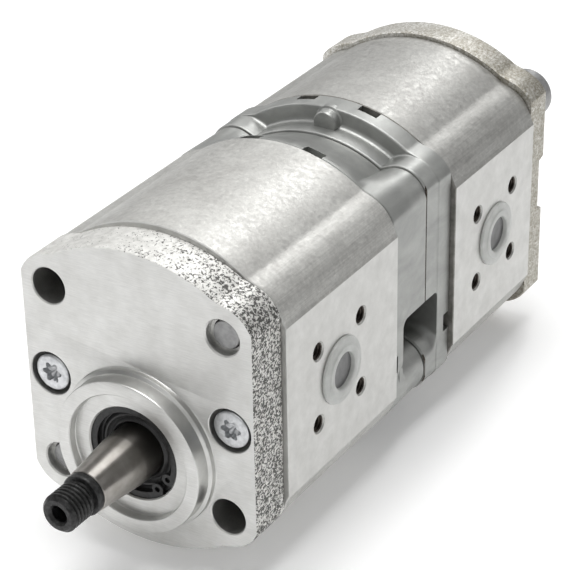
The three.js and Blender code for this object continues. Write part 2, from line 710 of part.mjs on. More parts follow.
// Internal retaining ring, open between its two lugs at the lower right.
const RING = { outer: 15.95, inner: 13.1, lugAt: 12.9, lugR: 2, hole: 0.9, gap: 1.1, gapFrom: 9.9 };
const RING_SLACK = 0.1; // free width beside the ring in its groove
const RING_GAP_TURN = (-40 * Math.PI) / 180;
const LUG_TURN = 0.2; // radians from the gap's middle to each lug

function retainingRing() {
  const front = RING_GROOVE.front + RING_SLACK;
  const back = RING_GROOVE.back - RING_SLACK;
  const through = [front - PAST, back + PAST];
  const hoop = cut(
    bar(RING.outer, front, back, 0, 0, CHAMBER_SIDES),
    bar(RING.inner, ...through, 0, 0, CHAMBER_SIDES),
  );
  const lugs = [];
  const holes = [];
  for (const turn of [RING_GAP_TURN - LUG_TURN, RING_GAP_TURN + LUG_TURN]) {
    const [x, z] = [RING.lugAt * Math.cos(turn), RING.lugAt * Math.sin(turn)];
    lugs.push(bar(RING.lugR, front, back, x, z));
    holes.push(bar(RING.hole, ...through, x, z, SMALL_SIDES));
  }
  const gap = block(RING.gapFrom, RING.outer + PAST, ...through, -RING.gap / 2, RING.gap / 2);
  const opening = gap.rotate([0, THREE.MathUtils.radToDeg(-RING_GAP_TURN), 0]);
  return cut(join(hoop, ...lugs), ...holes, opening);
}
add("seal_retaining_ring", retainingRing(), BLACK_STEEL);

// ---- fasteners ---------------------------------------------------------------------------
const STAR_SOCKET = { r: 3.3, lobes: 6, depth: 3, wave: 0.12 };

// Six-lobed driver recess as an outline about its own centre.
function starShape() {
  const points = [];
  const steps = 12;
  for (let i = 0; i < steps; i += 1) {
    const angle = (i * 2 * Math.PI) / steps;
    const wave = STAR_SOCKET.wave * (Math.cos(STAR_SOCKET.lobes * angle) - 1);
    const r = STAR_SOCKET.r * (1 + wave);
    points.push(new THREE.Vector2(r * Math.cos(angle), r * Math.sin(angle)));
  }
  return new THREE.Shape(points);
}
const starCut = (front, back, x, z) => prism(starShape(), front, back).translate([x, 0, z]);

const TIE_HEAD = { r: 8.7, back: 192.5, chamfer: 1.2 };
const TIE_BOLT_END_CHAMFER = 0.6;
const SEAT_GAP = 0.1; // under each screw head

function tieBolt(x, z) {
  const tip = TIE_BOLT_END_DEPTH;
  const seat = REAR_FACE + SEAT_GAP;
  const profile = [
    [0, tip],
    [TIE_BOLT_END_R - TIE_BOLT_END_CHAMFER, tip],
    [TIE_BOLT_END_R, tip + TIE_BOLT_END_CHAMFER],
    [TIE_BOLT_END_R, COVER_BACK],
    [TIE_BOLT_R, COVER_BACK + TIE_BOLT_R - TIE_BOLT_END_R],
    [TIE_BOLT_R, seat],
    [TIE_HEAD.r, seat],
    [TIE_HEAD.r, TIE_HEAD.back - TIE_HEAD.chamfer],
    [TIE_HEAD.r - TIE_HEAD.chamfer, TIE_HEAD.back],
    [0, TIE_HEAD.back],
  ];
  const socket = starCut(TIE_HEAD.back - STAR_SOCKET.depth, TIE_HEAD.back + PAST, x, z);
  return cut(turned(profile, HOLE_SIDES, x, z), socket);
}

add("tie_bolt_upper", tieBolt(tieCorners[1].x, tieCorners[1].z), BOLT_STEEL);
add("tie_bolt_lower", tieBolt(tieCorners[0].x, tieCorners[0].z), BOLT_STEEL);

const SCREW_CHAMFER = { head: 0.7, tip: 1 };

// Side screw from the top of its head, past the head's seat, to its tip.
function sideScrew(x, headTop, headSeat, tip) {
  const inward = Math.sign(headSeat - headTop);
  const { head, tip: point } = SCREW_CHAMFER;
  const profile = [
    [0, headTop],
    [SCREW_HEAD_R - head, headTop],
    [SCREW_HEAD_R, headTop + head * inward],
    [SCREW_HEAD_R, headSeat],
    [SCREW_SHANK_R, headSeat],
    [SCREW_SHANK_R, tip - point * inward],
    [SCREW_SHANK_R - point, tip],
    [0, tip],
  ];
  const socket = [headTop - inward, headTop + STAR_SOCKET.depth * inward].sort((a, b) => a - b);
  return cut(turned(profile, HOLE_SIDES, x, MID_Z), starCut(...socket, x, MID_Z));
}

const REAR_SCREW_TOP = 186;
for (const [side, x] of [["left", -MID_SCREW_X], ["right", MID_SCREW_X]]) {
  const frontTip = COVER_BACK + MID_SCREW_REACH;
  const frontScrew = sideScrew(x, SCREW_HEAD_SINK, SCREW_HEAD_DEPTH, frontTip);
  add(`front_screw_${side}`, frontScrew, ZINC);
  const rearTip = STAGE2_BACK - MID_SCREW_REACH;
  const rearScrew = sideScrew(x, REAR_SCREW_TOP, REAR_POCKET.floor + SEAT_GAP, rearTip);
  add(`rear_screw_${side}`, rearScrew, ZINC);
}

// ---- port plugs ----------------------------------------------------------------------------
const PLUG = { fit: 0.2, wall: 1.6, flange: 3.2, rim: 1.9, edge: 1.3, floor: 1.4, deep: 8 };
const PLUG_STAND_OFF = 0.05;

// Moulded cap: thin flange against the port face, hollow stem in the bore.
function portPlug(port) {
  const stem = port.radius - PLUG.fit;
  const recess = stem - PLUG.wall;
  const flange = port.radius + PLUG.flange;
  const section = [
    [0, PLUG_STAND_OFF],
    [recess, PLUG_STAND_OFF],
    [recess, PLUG.rim],
    [flange, PLUG.edge],
    [flange, PLUG_STAND_OFF],
    [stem, PLUG_STAND_OFF],
    [stem - PLUG.fit, -PLUG.deep],
    [recess, -PLUG.deep],
    [recess - PLUG.fit, -PLUG.floor],
    [0, -PLUG.floor],
  ];
  const points = section.map(([radius, out]) => new THREE.Vector2(radius, out));
  if (THREE.ShapeUtils.area(points) < 0) points.reverse();
  const g = new THREE.LatheGeometry(points, EAR_SIDES);
  g.rotateZ(port.side > 0 ? -Math.PI / 2 : Math.PI / 2);
  return solid(g.translate(port.side * HOUSING_HALF_WIDTH, 0, MID_Z));
}

for (const { n, port: y } of STAGES) {
  for (const [name, port] of [["pressure", PRESSURE_PORT], ["suction", SUCTION_PORT]]) {
    add(`stage_${n}_${name}_plug`, portPlug(port), PLASTIC).position.y = y;
  }
}

export default group;
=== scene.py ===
"""Looks of the tandem gear pump: detailed castings, shaft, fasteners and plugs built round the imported
CAD frame. Shapes are worked out in millimetres in the frame's own axes and stored in metres."""

from math import acos, asin, atan2, ceil, cos, hypot, pi, radians, sin, sqrt, tan, tau

import bmesh
import bpy
from mathutils import Matrix, Vector


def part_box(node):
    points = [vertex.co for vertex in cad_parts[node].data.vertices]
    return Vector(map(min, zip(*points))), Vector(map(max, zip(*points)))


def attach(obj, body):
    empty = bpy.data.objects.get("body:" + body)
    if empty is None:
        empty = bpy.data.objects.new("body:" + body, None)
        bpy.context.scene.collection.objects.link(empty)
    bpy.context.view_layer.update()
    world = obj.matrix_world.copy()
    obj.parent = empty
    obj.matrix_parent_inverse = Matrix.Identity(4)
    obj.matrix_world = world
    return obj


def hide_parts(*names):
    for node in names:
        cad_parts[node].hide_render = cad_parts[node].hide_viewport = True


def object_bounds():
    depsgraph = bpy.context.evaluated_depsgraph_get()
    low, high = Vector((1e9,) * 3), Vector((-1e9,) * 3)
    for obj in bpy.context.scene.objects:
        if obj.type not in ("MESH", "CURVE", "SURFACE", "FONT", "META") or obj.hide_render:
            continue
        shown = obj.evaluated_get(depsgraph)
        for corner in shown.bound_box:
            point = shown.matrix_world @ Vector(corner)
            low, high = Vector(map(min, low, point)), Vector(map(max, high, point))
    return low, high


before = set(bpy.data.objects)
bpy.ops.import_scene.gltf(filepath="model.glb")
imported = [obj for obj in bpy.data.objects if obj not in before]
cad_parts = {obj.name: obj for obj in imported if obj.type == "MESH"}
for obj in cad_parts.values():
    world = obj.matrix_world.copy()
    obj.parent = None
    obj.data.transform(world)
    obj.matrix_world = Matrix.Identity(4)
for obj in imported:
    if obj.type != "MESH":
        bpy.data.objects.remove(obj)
cad_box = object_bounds()
MM = 1000.0

# ---- sizes taken from the frame, in millimetres ----


def box_of(node):
    """Lowest and highest corner of a CAD node in millimetres."""
    low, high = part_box(node)
    return low * MM, high * MM


def middle_of(node):
    low, high = box_of(node)
    return (low + high) / 2


def lengths_of(node):
    """Where a node starts and ends along the pump's length."""
    low, high = box_of(node)
    return low.y, high.y


HOUSING_LOW, HOUSING_HIGH = box_of("stage_1_housing")
MID_Z = (HOUSING_LOW.z + HOUSING_HIGH.z) / 2
HOUSING_R = (HOUSING_HIGH.z - HOUSING_LOW.z) / 2
HOUSING_HALF_WIDTH = HOUSING_HIGH.x
COVER_HALF_WIDTH = box_of("front_cover")[1].x
CORNER_X = middle_of("tie_bolt_upper").x
CORNER_Z = middle_of("tie_bolt_upper").z - MID_Z
SCREW_X = middle_of("front_screw_right").x
PILOT_FRONT, COVER_BACK = lengths_of("front_cover")
COUPLING_FRONT, SEAM_FRONT = lengths_of("coupling_cover_front")
SEAM_REAR, COUPLING_BACK = lengths_of("coupling_cover_rear")
REAR_FRONT, REAR_BACK = lengths_of("rear_cover")

# ---- sizes of what the photograph shows, in millimetres ----
SEAM_CHAMFER = 0.3
COVER_EAR_R = 10.0
HOUSING_EAR_R = 9.5
FLANGE_EAR_R = 9.7
REAR_EAR_R = 11.9
THROUGH_HOLE_R = 5.8
TIE_HOLE_R = 5.35
SCREW_HOLE_R = 4.35
SHAFT_HOLE_R = 9.3
PAST = 1.0  # how far a cutter reaches past the face that it opens
ROUND = 96  # facets round a large turned part
SMALL_ROUND = 48

# ---- meshes ----


def add_ring(verts, radius, y, sides, x=0.0, z=0.0):
    """Adds a turned ring of vertices, or one point on the axis, and gives back their numbers."""
    count = 1 if radius == 0 else sides
    for i in range(count):
        turn = tau * i / sides
        verts.append((x + radius * sin(turn), y, z + radius * cos(turn)))
    return list(range(len(verts) - count, len(verts)))


def lathe(section, sides=ROUND, x=0.0, z=0.0):
    """Closed shell turned about a line along Y, from its (radius, y) section."""
    verts, faces = [], []
    rings = [add_ring(verts, radius, y, sides, x, z) for radius, y in section]
    if section[0][0] > 0:
        rings.append(rings[0])
    for near, far in zip(rings, rings[1:]):
        faces += bridge(near, far)
    return verts, faces


def bridge(near, far):
    """Faces between two closed rings of vertices, either of which may be one point."""
    count = max(len(near), len(far))
    faces = []
    for i in range(count):
        j = (i + 1) % count
        if len(near) == 1:
            faces.append((near[0], far[i], far[j]))
        elif len(far) == 1:
            faces.append((near[i], far[0], near[j]))
        else:
            faces.append((near[i], far[i], far[j], near[j]))
    return faces


def loft(loops):
    """Closed shell through loops of equally many points, flat at both ends."""
    count = len(loops[0])
    verts = [point for ring in loops for point in ring]
    faces = [tuple(range(count)), tuple(range(len(verts) - count, len(verts)))]
    for k in range(len(loops) - 1):
        near = list(range(k * count, (k + 1) * count))
        faces += bridge(near, [i + count for i in near])
    return verts, faces


def prism(outline, front, back):
    """Prism along Y from an outline of (x, z) points."""
    return loft([[(x, y, z) for x, z in outline] for y in (front, back)])


def block(low, high):
    """Plain box cutter between two corners."""
    xs, ys, zs = zip(low, high)
    outline = [(xs[0], zs[0]), (xs[1], zs[0]), (xs[1], zs[1]), (xs[0], zs[1])]
    return prism(outline, *ys)


def moved(shell, matrix):
    verts, faces = shell
    return [tuple(matrix @ Vector(v)) for v in verts], faces


def sideways(shell, side, x, y, z):
    """A shell turned about Y laid along X instead, its far end pointing out of that side."""
    turn = Matrix.Rotation(-side * pi / 2, 4, "Z")
    return moved(shell, Matrix.Translation((x, y, z)) @ turn)


def make(name, *shells):
    """Object from closed shells in millimetres, with its normals pointing out."""
    mesh = bpy.data.meshes.new(name)
    build = bmesh.new()
    for verts, faces in shells:
        added = [build.verts.new(Vector(v) / MM) for v in verts]
        for face in faces:
            build.faces.new([added[i] for i in face])
    tidy(build)
    build.to_mesh(mesh)
    build.free()
    piece = bpy.data.objects.new(name, mesh)
    bpy.context.scene.collection.objects.link(piece)
    return piece


def tidy(build):
    """Merges doubled points, drops what has no area and turns every face outwards."""
    bmesh.ops.remove_doubles(build, verts=build.verts, dist=1e-7)
    bmesh.ops.dissolve_degenerate(build, edges=build.edges, dist=1e-7)
    bmesh.ops.recalc_face_normals(build, faces=build.faces)


def apply_modifiers(piece):
    graph = bpy.context.evaluated_depsgraph_get()
    mesh = bpy.data.meshes.new_from_object(piece.evaluated_get(graph))
    old = piece.data
    piece.modifiers.clear()
    piece.data = mesh
    mesh.name = piece.name
    bpy.data.meshes.remove(old)


def combine(piece, operation, *shells):
    """Joins or cuts a piece with shells that don't touch each other."""
    tool = make("tool", *shells)
    step = piece.modifiers.new("combine", "BOOLEAN")
    step.operation = operation
    step.solver = "EXACT"
    step.object = tool
    bpy.context.view_layer.update()
    apply_modifiers(piece)
    bpy.data.meshes.remove(tool.data)


def cut(piece, *shells):
    combine(piece, "DIFFERENCE", *shells)


def join(piece, *shells):
    combine(piece, "UNION", *shells)


def smooth(piece, sharp_above=28):
    """Smooth shading that keeps the edges sharper than the angle."""
    build = bmesh.new()
    build.from_mesh(piece.data)
    tidy(build)
    build.to_mesh(piece.data)
    build.free()
    piece.data.shade_smooth()
    piece.data.set_sharp_from_angle(angle=radians(sharp_above))


def dress(piece, body, slot, nodes, *materials, choose=None):
    """Gives a finished piece its materials and body and hides the CAD nodes it stands for; slot is not
    used.
    """
    smooth(piece)
    piece.data.materials.clear()
    for material in materials:
        piece.data.materials.append(material)
    for face in piece.data.polygons:
        face.material_index = choose(face.center * MM, face.normal) if choose else 0
    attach(piece, body)
    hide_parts(*nodes)


# ---- outlines: distance from the bolt pattern's centre for each direction ----


def soft_max(a, b, blend):
    """The larger of two distances, rounded where they are about equal."""
    share = min(1.0, max(0.0, 0.5 + 0.5 * (a - b) / blend))
    return b + (a - b) * share + blend * share * (1 - share)


def to_circle(turn, x, z, radius):
    """How far the far side of a circle lies along a direction; past its edge, how near it comes."""
    along = x * sin(turn) + z * cos(turn)
    off = x * x + z * z - along * along
    return along + sqrt(max(0.0, radius * radius - off))


def to_ears(turn, radius):
    """The four corner ears are alike, so one quarter of the outline is enough."""
    folded = atan2(abs(sin(turn)), abs(cos(turn)))
    return to_circle(folded, CORNER_X, CORNER_Z, radius)


def to_side(turn, half_width):
    return half_width / max(abs(sin(turn)), 1e-6)


def slab_outline(radius, half_width, ear_radius, blend=3.0):
    """Crowned top and bottom, an ear at each corner and flat sides."""

    def reach(turn):
        return min(soft_max(radius, to_ears(turn, ear_radius), blend), to_side(turn, half_width))

    return reach


def directions(reach, half_width, count=720):
    """Evenly spaced directions, with one exactly at each corner between curved and flat."""
    turns = [tau * i / count for i in range(count)]
    step = tau / count
    found = []
    for turn in turns:
        flat = [abs(reach(t) * sin(t)) > half_width - 1e-6 for t in (turn, turn + step)]
        if flat[0] != flat[1]:
            low, high = turn, turn + step
            for _ in range(30):
                mid = (low + high) / 2
                if (abs(reach(mid) * sin(mid)) > half_width - 1e-6) == flat[0]:
                    low = mid
                else:
                    high = mid
            found.append((low + high) / 2)
    kept = [t for t in turns if all(abs(t - f) > step * 0.6 for f in found)]
    return sorted(kept + found)


def ring(reach, turns, y, inset=0.0):
    """Loop of points at one station, drawn in from an outline by an inset."""
    points = []
    for turn in turns:
        r = reach(turn) - inset
        points.append((r * sin(turn), y, MID_Z + r * cos(turn)))
    return points


def slab(reach, turns, front, back, chamfer=SEAM_CHAMFER):
    stations = [(front, chamfer), (front + chamfer, 0), (back - chamfer, 0), (back, chamfer)]
    return loft([ring(reach, turns, y, inset) for y, inset in stations])


def polar(point):
    """Direction and distance of a point from the bolt pattern's centre."""
    x, z = point.x, point.z - MID_Z
    return atan2(x, z), hypot(x, z)


def arc_steps(steps):
    """Pairs along a quarter circle: the first eases from 1 to 0 while the second goes from 0 to 1."""
    turns = [i / steps * pi / 2 for i in range(steps + 1)]
    return [(1 - sin(a), 1 - cos(a)) for a in turns]


CORNERS = [(sx * CORNER_X, MID_Z + sz * CORNER_Z, sx, sz) for sx in (-1, 1) for sz in (-1, 1)]
THROUGH_CORNERS = [(x, z) for x, z, sx, sz in CORNERS if sx != sz]
TIE_CORNERS = [(x, z) for x, z, sx, sz in CORNERS if sx == sz]


def hole(x, z, radius, front, back, chamfer=0.0, sides=SMALL_ROUND):
    """Bore along Y with an optional chamfer at its front mouth."""
    mouth = radius + chamfer
    section = [(0, front - 1), (mouth, front - 1), (mouth, front), (radius, front + chamfer)]
    return lathe([*section, (radius, back), (0, back)], sides, x, z)


def corner_holes(front, back):
    """The four passages through the corners of a casting, open at both ends."""
    ends = (front - PAST, back + PAST)
    through = [hole(x, z, THROUGH_HOLE_R, *ends) for x, z in THROUGH_CORNERS]
    return through + [hole(x, z, TIE_HOLE_R, *ends) for x, z in TIE_CORNERS]


# ---- materials ----
SEAL_SHADE_SPAN = (-15.0, -4.0)  # stretch of the shaft, in millimetres, over which painted shade deepens towards the seal
WHITE = (1.0, 1.0, 1.0)


class Look:
    """A material made of nodes round one Principled shader."""

    def __init__(self, name, colour, roughness, metallic, **uniform):
        self.material = bpy.data.materials.new(name)
        self.material.use_nodes = True
        self.nodes = self.material.node_tree.nodes
        self.links = self.material.node_tree.links
        self.shader = self.nodes["Principled BSDF"]
        uniform |= {"Base_Color": (*colour, 1), "Roughness": roughness, "Metallic": metallic}
        for socket, value in uniform.items():
            self.feed(self.shader.inputs[socket.replace("_", " ")], value)
        self.place = self.nodes.new("ShaderNodeTexCoord").outputs["Object"]
        self.height = None

    def feed(self, socket, value):
        """Links a node's output to a socket, or sets the socket to a value."""
        if isinstance(value, bpy.types.NodeSocket):
            self.links.new(value, socket)
        else:
            socket.default_value = value

    def node(self, kind, output, settings, **inputs):
        """New node with its settings and inputs; gives back one of its outputs."""
        made = self.nodes.new(f"ShaderNode{kind}")
        for name, value in settings.items():
            setattr(made, name, value)
        for name, value in inputs.items():
            self.feed(made.inputs[name.replace("_", " ")], value)
        return made.outputs[output]

    def stretched(self, scale):
        """Object coordinates in millimetres, stretched along each axis."""
        return self.node("Mapping", "Vector", {}, Vector=self.place, Scale=[MM * s for s in scale])

    def noise(self, size, detail=4.0, stretch=(1, 1, 1), rough=0.5, distortion=0.0):
        """Noise whose features are about size millimetres across."""
        kind = {"Detail": detail, "Roughness": rough, "Distortion": distortion, "Scale": 1.0}
        spread = self.stretched([s / size for s in stretch])
        return self.node("TexNoise", "Fac", {}, Vector=spread, **kind)

    def along(self, axis):
        """One object coordinate in millimetres."""
        return self.node("SeparateXYZ", axis, {}, Vector=self.stretched((1, 1, 1)))

    def turned_marks(self, pitch):
        """Fine concentric tool marks round the shaft's axis."""
        flat = self.stretched((1, 0, 1))
        radius = self.node("VectorMath", "Value", {"operation": "LENGTH"}, Vector=flat)
        line = {"noise_dimensions": "1D"}
        return self.node("TexNoise", "Fac", line, W=radius, Scale=1 / pitch, Detail=3)

    def ramp(self, fac, *stops):
        """Colour ramp through (position, grey level or colour) stops."""
        ramp = self.nodes.new("ShaderNodeValToRGB")
        elements = ramp.color_ramp.elements
        while len(elements) < len(stops):
            elements.new(0.5)
        for element, (position, value) in zip(elements, stops):
            rgb = (value,) * 3 if isinstance(value, (int, float)) else value
            element.position = position
            element.color = (*rgb, 1)
        self.links.new(fac, ramp.inputs["Fac"])
        return ramp.outputs["Color"]

    def remap(self, fac, low, high, from_low=0.0, from_high=1.0):
        ends = {"From_Min": from_low, "From_Max": from_high, "To_Min": low, "To_Max": high}
        return self.node("MapRange", "Result", {}, Value=fac, **ends)

    def maths(self, operation, a, b):
        step = self.nodes.new("ShaderNodeMath")
        step.operation = operation
        for socket, value in zip(step.inputs, (a, b)):
            self.feed(socket, value)
        return step.outputs["Value"]

    def mix(self, fac, a, b, kind="MIX"):
        step = self.nodes.new("ShaderNodeMix")
        step.data_type = "RGBA"
        step.blend_type = kind
        for name, value in (("Factor", fac), ("A", a), ("B", b)):
            socket = next(s for s in step.inputs if s.name == name and s.enabled)
            self.feed(socket, (*value, 1) if isinstance(value, tuple) else value)
        return next(s for s in step.outputs if s.enabled)

    def colour(self, source):
        self.links.new(source, self.shader.inputs["Base Color"])

    def roughness(self, source):
        self.links.new(source, self.shader.inputs["Roughness"])

    def bump(self, height, depth):
        """Relief of that depth in millimetres, on top of any relief already there."""
        below = {} if self.height is None else {"Normal": self.height}
        scale = {"Distance": depth / MM, "Strength": 1.0}
        self.height = self.node("Bump", "Normal", {}, Height=height, **scale, **below)
        self.links.new(self.height, self.shader.inputs["Normal"])

    def mottle(self, size, detail, dull, bright, start=0.3, **kind):
        """Base colour clouded between two tones."""
        self.colour(self.ramp(self.noise(size, detail, **kind), (start, dull), (0.7, bright)))

    def sheen(self, size, detail, smooth, rough):
        """Roughness that wanders between two values."""
        self.roughness(self.remap(self.noise(size, detail), smooth, rough))

    def relief(self, size, detail, depth):
        """Grain of that size and depth in millimetres."""
        self.bump(self.noise(size, detail), depth)


def plain(name, colour, roughness, metallic, mottle, sheen, *reliefs, **uniform):
    """A material that needs no more than clouded colour, uneven gloss and fine grain."""
    look = Look(name, colour, roughness, metallic, **uniform)
    look.mottle(*mottle)
    look.sheen(*sheen)
    for relief in reliefs:
        look.relief(*relief)
    return look.material


def machined_aluminium():
    """Milled face: fine cross-brushed lines over dull patches."""
    look = Look("machined_aluminium", (0.62, 0.62, 0.60), 0.42, 1.0)
    patches = look.noise(9, 4, rough=0.6)
    ground = look.ramp(patches, (0.3, (0.60, 0.598, 0.58)), (0.7, (0.70, 0.70, 0.685)))
    brushed = look.noise(0.3, 3, (0.06, 1, 1))
    lines = look.ramp(brushed, (0.3, 0.93), (0.7, 1.06))
    look.colour(look.mix(1.0, ground, lines, "MULTIPLY"))
    look.sheen(2.5, 4, 0.36, 0.50)
    look.bump(look.turned_marks(0.5), 0.003)
    look.bump(brushed, 0.003)
    return look.material


def turned_aluminium():
    look = Look("turned_aluminium", (0.62, 0.62, 0.60), 0.32, 1.0, Anisotropic=0.4)
    look.mottle(5, 3, (0.55, 0.55, 0.535), (0.65, 0.65, 0.63))
    look.roughness(look.remap(look.turned_marks(0.4), 0.26, 0.40))
    look.bump(look.turned_marks(0.3), 0.006)
    return look.material


def cast_skin():
    """Bright gravity-cast skin peppered with fine dark pits, thickest at its right: partly real pitting,
    partly painted shade on the right side.
    """
    look = Look("cast_skin", (0.6, 0.6, 0.58), 0.55, 0.85)
    pits = look.noise(0.75, 4, (1, 0.8, 1.0), 0.66, 0.4)
    # more pits towards the right darken that side: partly real pitting, partly painted shade
    rightward = look.remap(look.along("X"), 0.09, -0.06, -15, COVER_HALF_WIDTH)
    limit = look.maths("ADD", look.remap(look.noise(4, 3), 0.44, 0.62), rightward)
    dark = look.remap(look.maths("SUBTRACT", pits, limit), 0.0, 0.9, 0.0, 0.05)
    ground = look.ramp(look.noise(2.2, 4), (0.3, (0.60, 0.595, 0.57)), (0.7, (0.80, 0.795, 0.77)))
    look.colour(look.mix(dark, ground, (0.05, 0.049, 0.045)))
    look.sheen(1.1, 3, 0.42, 0.65)
    look.bump(look.maths("SUBTRACT", 1.0, dark), 0.04)
    look.relief(1.6, 3, 0.06)
    return look.material


def rear_cast_skin():
    """Rough cast skin of the rear cover: brown-grey grains among bright ones, browner to its right."""
    look = Look("rear_cast_skin", (0.5, 0.49, 0.46), 0.52, 0.9)
    grains = look.noise(0.7, 4, (1, 0.7, 1), 0.65, 0.4)
    blotches = look.noise(5, 3, (1, 0.6, 1), 0.6)
    rightward = look.remap(look.along("X"), 0.04, -0.05, -10, CORNER_X)
    grains_share = look.maths("MULTIPLY", grains, 0.75)
    mixed = look.maths("ADD", grains_share, look.maths("MULTIPLY", blotches, 0.25))
    brown, grey = (0.30, 0.28, 0.23), (0.46, 0.44, 0.39)
    pale, bright = (0.60, 0.59, 0.555), (0.84, 0.83, 0.80)
    stops = ((0.36, brown), (0.47, grey), (0.56, pale), (0.66, bright))
    look.colour(look.ramp(look.maths("ADD", mixed, rightward), *stops))
    look.sheen(1.3, 4, 0.40, 0.62)
    look.bump(grains, 0.08)
    look.relief(3, 3, 0.08)
    return look.material


def extruded_skin(name, painted_shade):
    """Matt extruded aluminium: cloudy and finely grained, lined along its length at its shoulders; a
    factor darkens all its tones, painted shade on the second stage's housing.
    """
    look = Look(name, (0.6, 0.6, 0.58), 0.48, 0.95)
    cloud = look.noise(14, 5, (1, 0.8, 1), 0.6, 0.4)
    grain = look.noise(1.3, 5, (1, 0.85, 1), 0.65, 0.5)
    tones = (0.49, 0.485, 0.465), (0.59, 0.588, 0.565)
    dull, bright = (tuple(painted_shade * c for c in tone) for tone in tones)
    flecks = look.ramp(grain, (0.30, 0.86), (0.5, 1.0), (0.64, 1.10), (0.74, 1.34))
    grained = look.mix(1.0, look.ramp(cloud, (0.3, dull), (0.7, bright)), flecks, "MULTIPLY")
    lines = look.ramp(look.noise(0.45, 3, (1, 0.02, 1), 0.6), (0.35, 0.86), (0.65, 1.08))
    shoulder = look.remap(look.along("X"), 0.0, 0.7, 26, 36)
    look.colour(look.mix(shoulder, grained, look.mix(1.0, grained, lines, "MULTIPLY")))
    look.roughness(look.remap(look.noise(1.6, 5), 0.40, 0.60, 0.3, 0.7))
    look.bump(grain, 0.03)
    look.relief(4, 3, 0.03)
    return look.material


def milled_face():
    """Flat port face: dull, faintly mottled."""
    look = Look("milled_face", (0.60, 0.60, 0.585), 0.47, 0.95)
    look.mottle(6, 5, (0.57, 0.568, 0.55), (0.67, 0.668, 0.65), rough=0.65)
    look.sheen(1.8, 4, 0.42, 0.60)
    look.relief(0.7, 4, 0.012)
    return look.material


def die_cast():
    """Smooth grey pressure-cast skin with faint flow streaks."""
    look = Look("die_cast", (0.35, 0.355, 0.345), 0.42, 0.9)
    streaks = {"stretch": (1, 0.5, 1), "rough": 0.55, "distortion": 0.6}
    look.mottle(7, 4, (0.31, 0.315, 0.305), (0.42, 0.425, 0.41), **streaks)
    look.sheen(1.5, 4, 0.38, 0.52)
    look.relief(0.9, 3, 0.012)
    look.relief(5, 2, 0.03)
    return look.material


def ground_steel():
    """Steel ground round its axis, brownish, with painted shade that darkens it towards where the shaft
    enters its seal.
    """
    brushed = {"Anisotropic": 0.85, "Anisotropic_Rotation": 0.25}
    look = Look("ground_steel", (0.40, 0.38, 0.355), 0.30, 1.0, **brushed)
    around = look.nodes.new("ShaderNodeTangent")
    around.direction_type = "RADIAL"
    around.axis = "Y"
    look.links.new(around.outputs["Tangent"], look.shader.inputs["Tangent"])
    lines = look.noise(0.25, 3, (0.05, 1, 0.05))
    bare_steel = look.ramp(look.noise(3, 3), (0.3, (0.36, 0.34, 0.315)), (0.7, (0.46, 0.44, 0.415)))
    # painted shade, deepening along the shaft towards the seal
    seal_shade = look.remap(look.along("Y"), 0.0, 0.7, *SEAL_SHADE_SPAN)
    look.colour(look.mix(seal_shade, bare_steel, (0.05, 0.043, 0.036)))
    look.roughness(look.remap(lines, 0.26, 0.34))
    look.bump(lines, 0.003)
    return look.material


MACHINED = machined_aluminium()
TURNED = turned_aluminium()
CAST = cast_skin()
REAR_CAST = rear_cast_skin()
# the second stage's copy is darker: painted shade
EXTRUDED = {1: extruded_skin("extruded_skin_1", 1.0), 2: extruded_skin("extruded_skin_2_painted_shade", 0.84)}
MILLED = milled_face()
DIE_CAST = die_cast()
STEEL = ground_steel()
# each plain material: base colour, roughness, metallic; its mottle; its sheen; its relief
# dark end faces of the second housing: painted shade in the gaps beside the castings
JOINT_SHADE = plain("joint_face_painted_shade", (0.2, 0.195, 0.18), 0.5, 0.8,
              (3, 3, (0.17, 0.165, 0.15), (0.32, 0.31, 0.29)), (1.4, 3, 0.42, 0.6))
# near-black painted shade for the faces inside the housings' bores and holes and beside the coupling's
# seam
DARK_SHADE = plain("dark_painted_shade", (0.05, 0.042, 0.035), 0.34, 0.7,
             (1.2, 3, (0.03, 0.024, 0.02), (0.10, 0.085, 0.07)), (0.8, 3, 0.26, 0.45))
BLACK_OXIDE = plain("black_oxide", (0.035, 0.035, 0.036), 0.38, 0.6,
                    (1.0, 4, 0.022, 0.06, 0.35), (0.7, 3, 0.28, 0.5), (0.4, 3, 0.01))
ZINC = plain("zinc_plate", (0.6, 0.61, 0.62), 0.34, 1.0,
             (1.4, 4, (0.48, 0.49, 0.50), (0.70, 0.71, 0.72)), (0.8, 4, 0.22, 0.5), (0.7, 4, 0.03))
BOLT = plain("bolt_steel", (0.36, 0.36, 0.36), 0.5, 0.9,
             (1.5, 4, 0.30, 0.40), (1.0, 3, 0.42, 0.6), (0.5, 3, 0.01))
RUBBER = plain("black_rubber", (0.018, 0.018, 0.018), 0.42, 0.0,
               (1.5, 3, 0.012, 0.028), (0.9, 3, 0.32, 0.55), (0.5, 3, 0.01))
SPRING = plain("spring_steel", (0.03, 0.03, 0.03), 0.42, 0.4,
               (1.2, 3, 0.018, 0.045), (0.6, 3, 0.34, 0.5), (0.4, 3, 0.008))
BRONZE = plain("bearing_bronze", (0.42, 0.30, 0.14), 0.42, 0.9,
               (1.5, 4, (0.36, 0.25, 0.12), (0.46, 0.34, 0.17)), (0.8, 3, 0.34, 0.52))
ALLOY = plain("bearing_alloy", (0.45, 0.455, 0.455), 0.5, 0.8,
              (2.5, 4, 0.40, 0.50), (0.9, 3, 0.42, 0.6), (0.7, 3, 0.015))
# milky moulded plastic, and a plug's thin floor painted darker: painted shade for the dark port behind
# it
MILKY = {"Subsurface_Weight": 0.35, "Subsurface_Radius": WHITE, "Subsurface_Scale": 0.002}
PLASTIC = plain("plug_plastic", (0.5, 0.51, 0.49), 0.34, 0.0,
                (4, 3, (0.48, 0.49, 0.47), (0.58, 0.59, 0.57)), (1.2, 3, 0.28, 0.42), (2, 3, 0.02),
                **MILKY)
PLUG_FLOOR_SHADE = plain("plug_floor_painted_shade", (0.19, 0.195, 0.19), 0.38, 0.0,
                  (3, 3, 0.15, 0.22), (1.2, 3, 0.30, 0.45))

